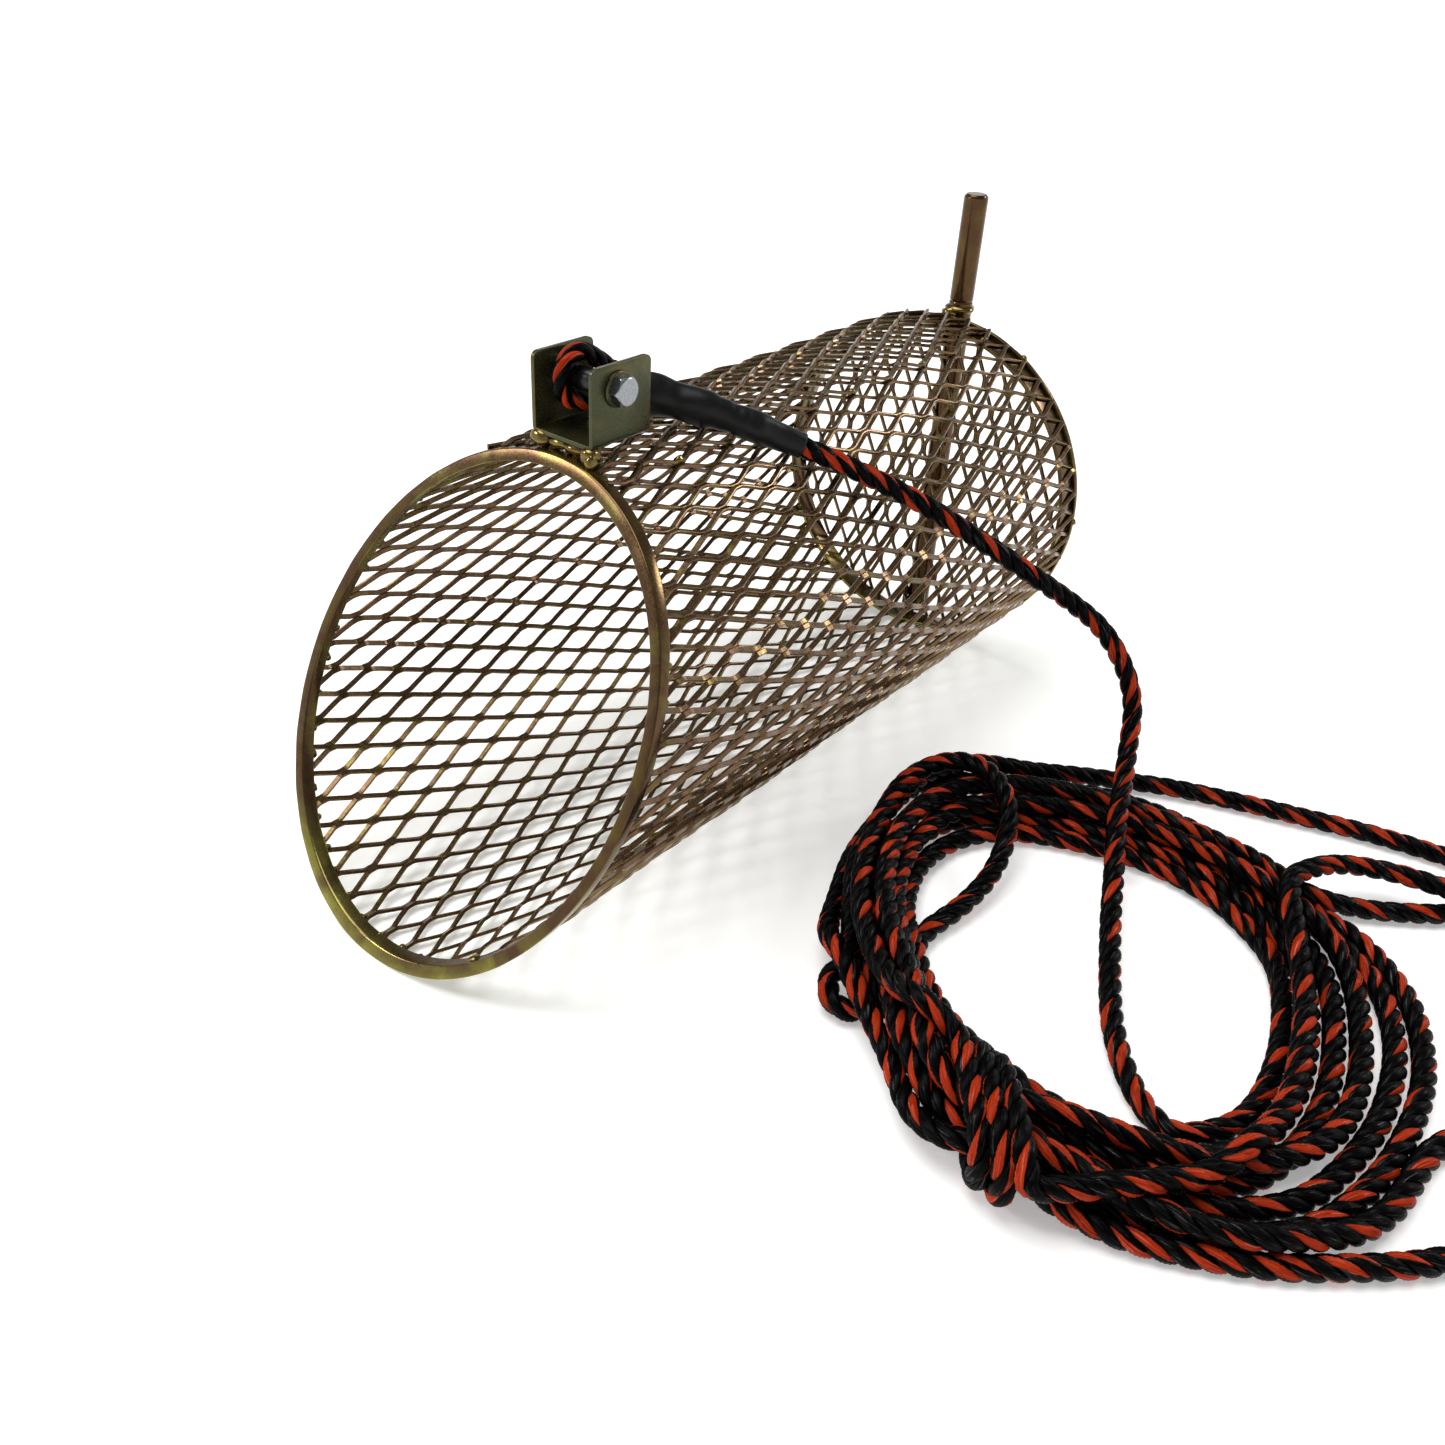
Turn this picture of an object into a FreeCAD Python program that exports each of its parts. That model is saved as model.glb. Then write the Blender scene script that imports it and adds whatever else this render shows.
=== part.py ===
import FreeCAD, Part
import math
import os

# Scoop basket of expanded metal with a roller tow bracket and a coiled tow rope.
# Millimetres. +Z up, tube axis along Y, mouth towards -Y, closed end towards +Y.
# The model is drawn with y = 0 at the mouth's centre. It is saved with the origin on the floor,
# under the middle of the basket's overall length.

# ---- driving dimensions: basket ------------------------------------------------
TUBE_OUTER = 92.0          # sheet's outer face, from the tube axis to the flat of a panel
SHEET = 2.0                # thickness of the sheet
COLUMNS = 90               # columns of knots around the tube
LONG_PITCH = 30.4          # knot to knot along the tube
KNOT_HALF = 2.2            # half the length of a knot along the tube
STRAND_GAP = 1.8           # metal left between an opening's wide corner and the next column
KNOT_ANGLE = -1.2          # angle of column 0 from the top, towards +X
KNOT_Y = -11.4             # a knot of column 0
LAP_FIRST = -6             # first column of the lapped layer
LAP_LAST = 5               # last column of the lapped layer
LAP_GAP = 0.15             # air between the two layers
MOUTH_SLOPE = 0.5936       # the mouth's plane leans back by this much per millimetre of height
TUBE_LENGTH = 353.5        # from the mouth's centre to the closed end
RING_PROUD = 1.0           # mouth ring's outer face, outside the sheet's
RING_BAR = 4.8             # mouth ring's bar, across the radius
RING_WIDTH = 6.0           # mouth ring's bar, along the tube
RING_ROUND = 0.8           # rounding of the ring's edges
BAND_BAR = 2.1             # rear band's thickness
BAND_WIDTH = 12.5          # rear band's width, along the tube
BAND_GAP = 0.1             # between the band and the sheet
CAP_SHEET = 2.0            # thickness of the end cap
CAP_INSET = 0.6            # from the sheet's outer face in to the cap's edge
CAP_SHORT = 12.9           # knot to knot across the end cap
CAP_LONG = 30.4            # knot to knot up the end cap
ROD_DIAMETER = 12.7
ROD_FOOT = 4.0             # from the floor to the rod's lower end
ROD_CHAMFER = 1.2
PEG_RISE = 60.4            # from the top of the mouth ring to the rod's top
PEG_WELD_GAP = 1.5         # from the sheet's top to the weld collar at the peg's foot
PEG_WELD = 5.0             # height of that collar
PEG_WELD_LEG = 1.6         # how far the collar reaches out from the rod
PEG_RELIEF = 0.8           # height of the narrow relief above the collar, where the peg starts
PEG_RELIEF_DEPTH = 0.3
ROD_WELD_LONG = 10.0       # length of each bead between the rod and the end cap
ROD_WELD_RADIUS = 2.0
ROD_WELD_TUCK = 0.4        # how far the bead's centre lies inside the rod's side
MOUTH_WELD = 1.9           # radius of the beads behind the mouth ring
MOUTH_WELD_GAP = 0.8       # from the ring's back to those beads' centres
REAR_WELD = 1.6            # radius of the beads at the rear band
LAP_WELD = 1.9             # radius of the beads along the lap
CAP_WELD = 1.7             # radius of the beads round the end cap
RING_JOINT = 2.6           # radius of the butt weld in the mouth ring
RING_JOINT_ANGLE = 146.8   # where the ring's ends meet, midway between two beads

# ---- driving dimensions: tow bracket -------------------------------------------
PLATE = 1.9
EAR_OUTSIDE = 32.8         # outside to outside of the two ears
EAR_DEPTH = 32.8
BRACKET_BEHIND = 3.7       # from the mouth ring's top edge back to the bracket's front
BRACKET_LIFT = 4.4         # from the mouth ring's top up to the bracket's floor
BRACKET_HEIGHT = 31.8
BRACKET_WELD = 3.9         # radius of the beads under the bracket, where they meet the ring
BRACKET_WELD_STEP = 11.0   # from one of those beads to the next
BRACKET_WELD_BITE = 0.6    # how far they reach down past the ring's top
EAR_CORNER = 3.0           # rounding of the ears' top corners
BEND_RADIUS = 2.6          # outside of the two folds
BOLT_BEHIND = 13.9         # from the bracket's front edge to the bolt
EYE_FLOOR_GAP = 5.75       # from the bracket's floor up to the eye's rope
BOLT_DIAMETER = 6.3
BOLT_HOLE_GAP = 0.1
BOLT_HEAD_FLATS = 11.1
BOLT_HEAD_HEIGHT = 4.4
NUT_HEIGHT = 5.5
BOLT_PAST_NUT = 3.0
BOLT_CHAMFER = 0.6
HEX_TURNING = 0.6          # slope of the cone that the corners of head and nut are turned to
HEX_FACE = 0.93            # round outer face of head and nut, as a share of the hexagon's corner radius
WASHER_DIAMETER = 15.0
WASHER = 1.5
ROLLER_WALL = 1.3
ROLLER_BORE_GAP = 0.05     # running clearance on the bolt, on the radius
ROLLER_END_GAP = 0.25      # from each end of the roller to its ear

# ---- driving dimensions: rope --------------------------------------------------
ROPE = 9.5
EYE_SIDE_GAP = 4.25        # from the left ear to the eye
EYE_GAP = 0.35             # from the eye to the roller
LEG_ANGLE = -24.5          # the legs leave the roller backwards and down
LEG_MEET = 23.0            # from the bolt to where the legs lie side by side
LEG_GAP = 0.1              # half the gap between the two legs
COIL_HEIGHT = 22.0
COIL_ROUND = 6.0

# heat-shrink sleeve: centre line point from the bolt, then half width and half height as shares of the rope
SLEEVE = [
    ((-5.5, 17.2, -7.2), 0.621, 1.074),
    ((-2.5, 28.2, -12.2), 0.642, 0.989),
    ((5.0, 38.7, -15.0), 0.674, 0.874),
    ((15.5, 46.7, -17.6), 0.695, 0.789),
    ((27.0, 55.2, -21.6), 0.674, 0.705),
    ((38.0, 65.7, -27.2), 0.642, 0.642),
    ((48.8, 78.2, -34.4), 0.589, 0.589),
]

# the rope's route, from the sleeve over the mesh and down into the coil. It starts at the sleeve's end
LEAD = [
    (66, 172, 166), (84, 191, 153), (103, 210, 137), (122, 227, 121), (141, 243, 106),
    (160, 258, 88), (177, 262, 61), (187, 243, 39), (198, 214, 28), (210, 188, 21), (223, 160, 14),
    (237, 131, 9), (252, 104, 6), (270, 84, 5), (288, 74, 5),
]
# the loose turn that runs out past the coil on its right, and comes back below
OUTER_TURN = [
    (176, 272, 5), (206, 288, 5), (243, 301, 5), (281, 314, 5), (321, 323, 5), (362, 324, 5), (398, 308, 5),
    (423, 277, 5), (434, 238, 5), (431, 196, 5), (419, 154, 5), (400, 115, 5), (375, 82, 5), (347, 55, 5),
    (322, 37, 5),
]
# the shorter loose turn beside it
SIDE_TURN = [
    (273, 224, 24), (277, 241, 22), (284, 258, 19), (297, 271, 16), (317, 278, 16), (346, 283, 15),
    (374, 275, 7), (394, 252, 5), (400, 222, 5), (394, 190, 5), (380, 161, 5), (362, 136, 5),
]
# the free end of the rope
FREE_END = [(277, 236, 13), (290, 246, 7), (306, 256, 5), (322, 268, 5), (336, 281, 5), (350, 296, 5)]

COIL_OUTSIDE = [
    (127, 98), (104, 147), (92, 200), (106, 243), (147, 268), (190, 280), (232, 279), (270, 268), (308, 252),
    (344, 230), (364, 192), (370, 150), (367, 110), (353, 72), (328, 38), (296, 19), (260, 7), (228, 18),
    (198, 34), (160, 58),
]
COIL_INSIDE = [
    (154, 106), (144, 130), (144, 158), (160, 190), (195, 214), (232, 222), (264, 215), (287, 184), (304, 142),
    (311, 108), (303, 84), (284, 73), (260, 62), (234, 58), (207, 63), (177, 81),
]

# ---- derived places --------------------------------------------------------------
RING_OUTER = TUBE_OUTER + RING_PROUD
CAP_RADIUS = TUBE_OUTER - CAP_INSET
AXIS_Z = RING_OUTER        # the mouth ring stands on the floor
RING_TOP = AXIS_Z + RING_OUTER
ROD_TOP = RING_TOP + PEG_RISE
PEG_FOOT = AXIS_Z + TUBE_OUTER + PEG_WELD_GAP
BRACKET_FRONT = MOUTH_SLOPE * RING_OUTER + BRACKET_BEHIND
BRACKET_BOTTOM = RING_TOP + BRACKET_LIFT
BRACKET_TOP = BRACKET_BOTTOM + BRACKET_HEIGHT
BOLT_Y = BRACKET_FRONT + BOLT_BEHIND
TUBE_INNER = TUBE_OUTER - SHEET
PANEL = 360.0 / COLUMNS
EAR_INSIDE = EAR_OUTSIDE / 2 - PLATE
BOLT_R = BOLT_DIAMETER / 2
ROLLER_R = BOLT_R + ROLLER_BORE_GAP + ROLLER_WALL
ROPE_R = ROPE / 2
BOLT_Z = BRACKET_BOTTOM + PLATE + EYE_FLOOR_GAP + ROPE + EYE_GAP + ROLLER_R
EYE_X = EYE_SIDE_GAP + ROPE_R - EAR_INSIDE
ROD_Y = TUBE_LENGTH + CAP_SHEET + ROD_DIAMETER / 2
MIDDLE_Y = (ROD_Y + ROD_DIAMETER / 2 - MOUTH_SLOPE * RING_OUTER) / 2


def vec(x, y, z):
    return FreeCAD.Vector(x, y, z)


def save(name, shape):
    shape.translate(vec(0, -MIDDLE_Y, 0))
    shape.exportStep("parts/" + name + ".step")
    print(name, "solids", len(shape.Solids), "volume", round(shape.Volume, 1), "valid", shape.isValid())


def around(angle, radius, y):
    """A point at an angle from the top, turning towards +X."""
    turn = math.radians(angle)
    return vec(radius * math.sin(turn), y, AXIS_Z + radius * math.cos(turn))


def mouth_y(angle, radius):
    return MOUTH_SLOPE * radius * math.cos(math.radians(angle))


def between_mouth_and_end(offset, end):
    """The space behind the mouth's plane, moved back by offset, and before a plane at end."""
    reach = 2 * RING_OUTER
    points = [
        vec(-reach, offset - MOUTH_SLOPE * reach, AXIS_Z - reach),
        vec(-reach, offset + MOUTH_SLOPE * reach, AXIS_Z + reach),
        vec(-reach, end, AXIS_Z + reach),
        vec(-reach, end, AXIS_Z - reach),
    ]
    face = Part.Face(Part.makePolygon(points + points[:1]))
    return face.extrude(vec(2 * reach, 0, 0))


# ---- expanded metal ---------------------------------------------------------------
def openings(column, low, high):
    """Centres of the diamond openings whose tips lie on a column, between low and high."""
    first = KNOT_Y + (column % 2) * LONG_PITCH / 2 + LONG_PITCH / 2
    half = LONG_PITCH / 2 - KNOT_HALF
    count = int((high - low) / LONG_PITCH) + 4
    start = int((low - first) / LONG_PITCH) - 2
    centres = [first + LONG_PITCH * (start + step) for step in range(count)]
    return [c for c in centres if c - half > low + 1 and c + half < high - 1]


def panel_place(column, u, y, apothem):
    turn = math.radians(KNOT_ANGLE + PANEL * (column + 0.5))
    x = apothem * math.sin(turn) + u * math.cos(turn)
    z = apothem * math.cos(turn) - u * math.sin(turn)
    return vec(x, y, AXIS_Z + z)


def expanded_tube(first, last, inner, outer, low, high):
    """Flat panels of diamond mesh between two columns, as one solid with mitred edges."""
    closed = last - first == COLUMNS
    half_turn = math.radians(PANEL / 2)
    wide = outer * math.tan(half_turn)
    narrow = inner * math.tan(half_turn)
    reach = 2 * wide - STRAND_GAP
    tip = LONG_PITCH / 2 - KNOT_HALF
    inner_tip = tip - (wide - narrow) * tip / reach
    faces = []

    def polygon(points):
        faces.append(Part.Face(Part.makePolygon(points + points[:1])))

    for column in range(first, last):
        sides = []
        for apothem, edge, end in ((outer, wide, tip), (inner, narrow, inner_tip)):
            def at(u, y):
                return panel_place(column, u, y, apothem)
            right = []
            for c in openings(column + 1, low, high):
                right += [at(edge, c - end), at(wide - reach, c), at(edge, c + end)]
            left = []
            for c in openings(column, low, high):
                left += [at(-edge, c - end), at(reach - wide, c), at(-edge, c + end)]
            left.reverse()
            ends = [at(-edge, low), at(edge, low)], [at(edge, high), at(-edge, high)]
            sides.append((ends[0] + right + ends[1] + left, len(right)))
        rims = [side[0] for side in sides]
        polygon(rims[0])
        polygon(rims[1])
        total = len(rims[0])
        right_count = sides[0][1]
        for index in range(total):
            after = (index + 1) % total
            on_right = 1 <= index <= right_count + 1
            position = index - 1 if on_right else index - right_count - 3
            knot = position % 3 == 0 and index != 0 and index != right_count + 2
            if knot:
                last_edge = on_right and column == last - 1
                first_edge = not on_right and column == first
                if closed or not (last_edge or first_edge):
                    continue
            polygon([rims[0][index], rims[0][after], rims[1][after], rims[1][index]])
    shell = Part.Compound(faces)
    shell.sewShape(1e-4)
    solid = Part.Solid(shell.Shells[0])
    if solid.Volume < 0:
        solid.reverse()
    return solid


def mesh_layer(first, last, inner, outer):
    spare = LONG_PITCH
    low = -MOUTH_SLOPE * RING_OUTER - spare
    high = TUBE_LENGTH + spare
    tube = expanded_tube(first, last, inner, outer, low, high)
    return tube.common(between_mouth_and_end(RING_WIDTH, TUBE_LENGTH))


def mesh_body():
    return mesh_layer(0, COLUMNS, TUBE_INNER, TUBE_OUTER)


def mesh_lap():
    inner = TUBE_OUTER / math.cos(math.radians(PANEL / 2)) + LAP_GAP
    return mesh_layer(LAP_FIRST, LAP_LAST, inner, inner + SHEET)


def end_cap_mesh():
    disc = Part.Face(Part.Wire(Part.makeCircle(CAP_RADIUS, vec(0, TUBE_LENGTH, AXIS_Z), vec(0, 1, 0))))
    tip = CAP_LONG / 2 - KNOT_HALF
    side = CAP_SHORT / 2 - STRAND_GAP / 2
    half_columns = int(CAP_RADIUS / CAP_SHORT * 2) + 1
    half_rows = int(CAP_RADIUS / CAP_LONG) + 1
    rim = CAP_RADIUS - BAND_BAR
    cuts = []
    for column in range(-half_columns, half_columns + 1):
        for row in range(-half_rows, half_rows + 1):
            x = column * CAP_SHORT / 2
            z = AXIS_Z + (row + 0.5 * (column % 2)) * CAP_LONG
            corners = [(x, z - tip), (x + side, z), (x, z + tip), (x - side, z)]
            points = [vec(px, TUBE_LENGTH, pz) for px, pz in corners]
            if math.hypot(x, z - AXIS_Z) < rim + tip:
                cuts.append(Part.Face(Part.makePolygon(points + points[:1])))
    inside = Part.Face(Part.Wire(Part.makeCircle(rim, vec(0, TUBE_LENGTH, AXIS_Z), vec(0, 1, 0))))
    holes = Part.Compound(cuts).common(inside)
    return disc.cut(holes).extrude(vec(0, CAP_SHEET, 0))


# ---- hoops, rod and welds ---------------------------------------------------------------
def tube_along_y(outer, inner, start, end):
    long = end - start
    centre = vec(0, start, AXIS_Z)
    body = Part.makeCylinder(outer, long, centre, vec(0, 1, 0))
    return body.cut(Part.makeCylinder(inner, long, centre, vec(0, 1, 0)))


def mouth_ring():
    far = 2 * RING_OUTER
    tube = tube_along_y(RING_OUTER, RING_OUTER - RING_BAR, -far, far)
    ring = tube.common(between_mouth_and_end(0, far)).cut(between_mouth_and_end(RING_WIDTH, 2 * far))
    edges = [edge for edge in ring.Edges if edge.Length > 3 * RING_OUTER]
    return ring.makeFillet(RING_ROUND, edges)


def rear_band():
    outer = TUBE_INNER - BAND_GAP
    return tube_along_y(outer, outer - BAND_BAR, TUBE_LENGTH - BAND_WIDTH, TUBE_LENGTH)


def cross_rod():
    """One bar up the outside of the end cap. Its top stands out as a peg, above a narrow relief at the weld."""
    rod = Part.makeCylinder(ROD_DIAMETER / 2, ROD_TOP - ROD_FOOT, vec(0, ROD_Y, ROD_FOOT), vec(0, 0, 1))
    ends = [edge for edge in rod.Edges if edge.Closed]
    rod = rod.makeChamfer(ROD_CHAMFER, ends)
    start = vec(0, ROD_Y, PEG_FOOT + PEG_WELD)
    around_rod = Part.makeCylinder(ROD_DIAMETER, PEG_RELIEF, start, vec(0, 0, 1))
    core = Part.makeCylinder(ROD_DIAMETER / 2 - PEG_RELIEF_DEPTH, PEG_RELIEF, start, vec(0, 0, 1))
    return rod.cut(around_rod.cut(core))


def peg_weld():
    """A weld collar round the rod at the peg's foot."""
    radius = ROD_DIAMETER / 2
    start = vec(0, ROD_Y, PEG_FOOT)
    cone = Part.makeCone(radius + PEG_WELD_LEG, radius + PEG_WELD_LEG / 4, PEG_WELD, start, vec(0, 0, 1))
    return cone.cut(Part.makeCylinder(radius, PEG_WELD, start, vec(0, 0, 1)))


def rod_weld(height):
    """Two beads along the rod, where it lies on the end cap."""
    face = TUBE_LENGTH + CAP_SHEET
    low = height - ROD_WELD_LONG / 2
    beads = []
    for side in (-1, 1):
        x = side * (ROD_DIAMETER / 2 - ROD_WELD_TUCK)
        start = vec(x, face + ROD_WELD_RADIUS / 2, low)
        beads.append(Part.makeCylinder(ROD_WELD_RADIUS, ROD_WELD_LONG, start, vec(0, 0, 1)))
    below = vec(0, ROD_Y, height - ROD_WELD_LONG)
    rod = Part.makeCylinder(ROD_DIAMETER / 2, 2 * ROD_WELD_LONG, below, vec(0, 0, 1))
    corner = vec(-2 * ROD_DIAMETER, face - 2 * CAP_SHEET, low)
    plate = Part.makeBox(4 * ROD_DIAMETER, 2 * CAP_SHEET, ROD_WELD_LONG, corner)
    return [bead.cut(rod).cut(plate) for bead in beads]


def rod_welds():
    top = AXIS_Z + CAP_RADIUS - ROD_WELD_LONG
    bottom = AXIS_Z - CAP_RADIUS + ROD_WELD_LONG
    return Part.Compound([peg_weld()] + rod_weld(top) + rod_weld(bottom))


def bead(centre, radius):
    return Part.makeSphere(radius, centre)


def mouth_welds():
    """One bead where each second pair of strands meets the mouth ring."""
    beads = []
    for column in range(0, COLUMNS, 2):
        angle = KNOT_ANGLE + PANEL * column
        radius = TUBE_INNER + MOUTH_WELD / 3
        y = mouth_y(angle, radius) + RING_WIDTH + MOUTH_WELD_GAP
        beads.append(bead(around(angle, radius, y), MOUTH_WELD))
    return Part.Compound(beads)


def rear_welds():
    beads = []
    for column in range(1, COLUMNS, 6):
        angle = KNOT_ANGLE + PANEL * column
        y = TUBE_LENGTH - BAND_WIDTH - REAR_WELD / 4
        beads.append(bead(around(angle, TUBE_INNER - REAR_WELD / 4, y), REAR_WELD))
    return Part.Compound(beads)


def lap_welds():
    """A bead at every second knot along the lap's edge, clear of both ends."""
    angle = KNOT_ANGLE + PANEL * LAP_LAST - math.degrees(LAP_WELD / 2 / TUBE_OUTER)
    first = KNOT_Y + (LAP_LAST % 2) * LONG_PITCH / 2 + 3 * LONG_PITCH
    count = int((TUBE_LENGTH - LONG_PITCH / 2 - first) / (2 * LONG_PITCH)) + 1
    radius = TUBE_OUTER + SHEET / 2 + LAP_GAP * 2
    places = [around(angle, radius, first + 2 * LONG_PITCH * n) for n in range(count)]
    return Part.Compound([bead(place, LAP_WELD) for place in places])


def cap_welds():
    beads = []
    for angle in range(30, 360, 60):
        beads.append(bead(around(angle, CAP_RADIUS - CAP_WELD / 3, TUBE_LENGTH + CAP_SHEET / 2), CAP_WELD))
    return Part.Compound(beads)


def mouth_ring_joint():
    """The butt weld that closes the hoop, low on its right."""
    radius = RING_OUTER - RING_BAR
    y = mouth_y(RING_JOINT_ANGLE, radius) + RING_WIDTH / 2
    return bead(around(RING_JOINT_ANGLE, radius, y), RING_JOINT)


# ---- tow bracket ---------------------------------------------------------------------------
def tow_bracket():
    """A folded U: rounded below, rounded at the ears' top corners, with the bolt's hole through both ears."""
    half = EAR_OUTSIDE / 2
    near = PLATE / 10
    outer = Part.makeBox(EAR_OUTSIDE, EAR_DEPTH, BRACKET_HEIGHT, vec(-half, BRACKET_FRONT, BRACKET_BOTTOM))
    folds = []
    corners = []
    for edge in outer.Edges:
        middle = edge.CenterOfMass
        if middle.z < BRACKET_BOTTOM + near and abs(middle.x) > half - near:
            folds.append(edge)
    outer = outer.makeFillet(BEND_RADIUS, folds)
    for edge in outer.Edges:
        middle = edge.CenterOfMass
        if middle.z > BRACKET_TOP - near and abs(middle.x) < near:
            corners.append(edge)
    outer = outer.makeFillet(EAR_CORNER, corners)
    start = vec(-EAR_INSIDE, BRACKET_FRONT - PLATE, BRACKET_BOTTOM + PLATE)
    inner = Part.makeBox(2 * EAR_INSIDE, EAR_DEPTH + 2 * PLATE, BRACKET_HEIGHT, start)
    low = []
    for edge in inner.Edges:
        middle = edge.CenterOfMass
        if middle.z < BRACKET_BOTTOM + PLATE + near and abs(middle.x) > EAR_INSIDE - near:
            low.append(edge)
    inner = inner.makeFillet(BEND_RADIUS - PLATE, low)
    axis = vec(-EAR_OUTSIDE, BOLT_Y, BOLT_Z)
    hole = Part.makeCylinder(BOLT_R + BOLT_HOLE_GAP, 2 * EAR_OUTSIDE, axis, vec(1, 0, 0))
    return outer.cut(inner).cut(hole)


def bracket_welds():
    """Three beads between the mouth ring's top and the bracket's floor."""
    ring_zone = Part.makeCylinder(RING_OUTER, 2 * RING_OUTER, vec(0, 0, AXIS_Z), vec(0, 1, 0))
    blobs = []
    for x in (-BRACKET_WELD_STEP, 0.0, BRACKET_WELD_STEP):
        stretch = math.sqrt(RING_OUTER ** 2 - x ** 2)
        y = MOUTH_SLOPE * stretch + RING_WIDTH / 2 + MOUTH_WELD_GAP
        low = AXIS_Z + stretch - BRACKET_WELD_BITE
        height = BRACKET_BOTTOM - low
        cone = Part.makeCone(BRACKET_WELD, BRACKET_WELD * 3 / 4, height, vec(x, y, low), vec(0, 0, 1))
        blobs.append(cone.cut(ring_zone))
    return Part.Compound(blobs)


def hexagon(flats, height, x, direction):
    """A hexagonal prism along X whose corners are turned down to a cone at its outer face."""
    radius = flats / math.sqrt(3)
    points = []
    for corner in range(7):
        turn = math.radians(60 * corner + 90)
        points.append(vec(x, BOLT_Y + radius * math.cos(turn), BOLT_Z + radius * math.sin(turn)))
    prism = Part.Face(Part.makePolygon(points)).extrude(vec(direction * height, 0, 0))
    start = vec(x, BOLT_Y, BOLT_Z)
    cone = Part.makeCone(radius + height * HEX_TURNING, radius * HEX_FACE, height, start, vec(direction, 0, 0))
    return prism.common(cone)


def tow_bolt():
    seat = EAR_OUTSIDE / 2 + WASHER
    end = -seat - NUT_HEIGHT - BOLT_PAST_NUT
    head = hexagon(BOLT_HEAD_FLATS, BOLT_HEAD_HEIGHT, seat, 1)
    shank = Part.makeCylinder(BOLT_R, seat - end, vec(end, BOLT_Y, BOLT_Z), vec(1, 0, 0))
    tip = [edge for edge in shank.Edges if edge.Closed and edge.CenterOfMass.x < end + BOLT_CHAMFER]
    return head.fuse(shank.makeChamfer(BOLT_CHAMFER, tip)).removeSplitter()


def tow_nut():
    seat = -EAR_OUTSIDE / 2 - WASHER
    nut = hexagon(BOLT_HEAD_FLATS, NUT_HEIGHT, seat, -1)
    start = vec(seat + NUT_HEIGHT, BOLT_Y, BOLT_Z)
    return nut.cut(Part.makeCylinder(BOLT_R, 4 * NUT_HEIGHT, start, vec(-1, 0, 0)))


def bolt_washers():
    pieces = []
    for x in (-EAR_OUTSIDE / 2 - WASHER, EAR_OUTSIDE / 2):
        disc = Part.makeCylinder(WASHER_DIAMETER / 2, WASHER, vec(x, BOLT_Y, BOLT_Z), vec(1, 0, 0))
        edges = [edge for edge in disc.Edges if edge.Closed and edge.Length > 2 * WASHER_DIAMETER]
        disc = disc.makeFillet(WASHER * 0.3, edges)
        hole = Part.makeCylinder(BOLT_R + BOLT_HOLE_GAP, WASHER, vec(x, BOLT_Y, BOLT_Z), vec(1, 0, 0))
        pieces.append(disc.cut(hole))
    return Part.Compound(pieces)


def roller_sleeve():
    long = 2 * (EAR_INSIDE - ROLLER_END_GAP)
    start = vec(-long / 2, BOLT_Y, BOLT_Z)
    body = Part.makeCylinder(ROLLER_R, long, start, vec(1, 0, 0))
    return body.cut(Part.makeCylinder(BOLT_R + ROLLER_BORE_GAP, long, start, vec(1, 0, 0)))


# ---- rope ------------------------------------------------------------------------------------
def eye_place(along, up):
    turn = math.radians(LEG_ANGLE)
    y = along * math.cos(turn) - up * math.sin(turn)
    z = along * math.sin(turn) + up * math.cos(turn)
    return vec(EYE_X, BOLT_Y + y, BOLT_Z + z)


def rope_eye():
    """The rope goes round the roller and both legs run back side by side."""
    radius = ROLLER_R + EYE_GAP + ROPE_R
    side = ROPE_R + LEG_GAP
    far = math.hypot(LEG_MEET, side)
    touch = math.atan2(side, LEG_MEET) + math.acos(radius / far)
    top = (radius * math.cos(touch), radius * math.sin(touch))
    first = Part.LineSegment(eye_place(LEG_MEET, side), eye_place(*top)).toShape()
    arc = Part.Arc(eye_place(*top), eye_place(-radius, 0), eye_place(top[0], -top[1])).toShape()
    second = Part.LineSegment(eye_place(top[0], -top[1]), eye_place(LEG_MEET, -side)).toShape()
    path = Part.Wire([first, arc, second])
    start = eye_place(LEG_MEET, side)
    along = eye_place(*top) - start
    profile = Part.Wire(Part.makeCircle(ROPE_R, start, along))
    return path.makePipeShell([profile], True, False)


def sleeve_place(index):
    offset = SLEEVE[index][0]
    return vec(offset[0], BOLT_Y + offset[1], BOLT_Z + offset[2])


def sleeve_section(index):
    """An ellipse across the sleeve's centre line."""
    route = [sleeve_place(n) for n in range(len(SLEEVE))] + [vec(*LEAD[0])]
    centre = route[index]
    last = index == len(SLEEVE) - 1
    before = centre if last else route[max(index - 1, 0)]
    along = (route[index + 1] - before).normalize()
    side = vec(along.y, -along.x, 0).normalize()
    up = side.cross(along).normalize()
    half_width = SLEEVE[index][1] * ROPE
    half_height = SLEEVE[index][2] * ROPE
    if half_width == half_height:
        return Part.Wire(Part.makeCircle(half_height, centre, along))
    major = up
    minor = along.cross(major)
    ellipse = Part.Ellipse(centre + major * half_height, centre + minor * half_width, centre)
    return Part.Wire(ellipse.toShape())


def heat_shrink():
    sections = [sleeve_section(index) for index in range(len(SLEEVE))]
    return Part.makeLoft(sections, True, False)


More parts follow.
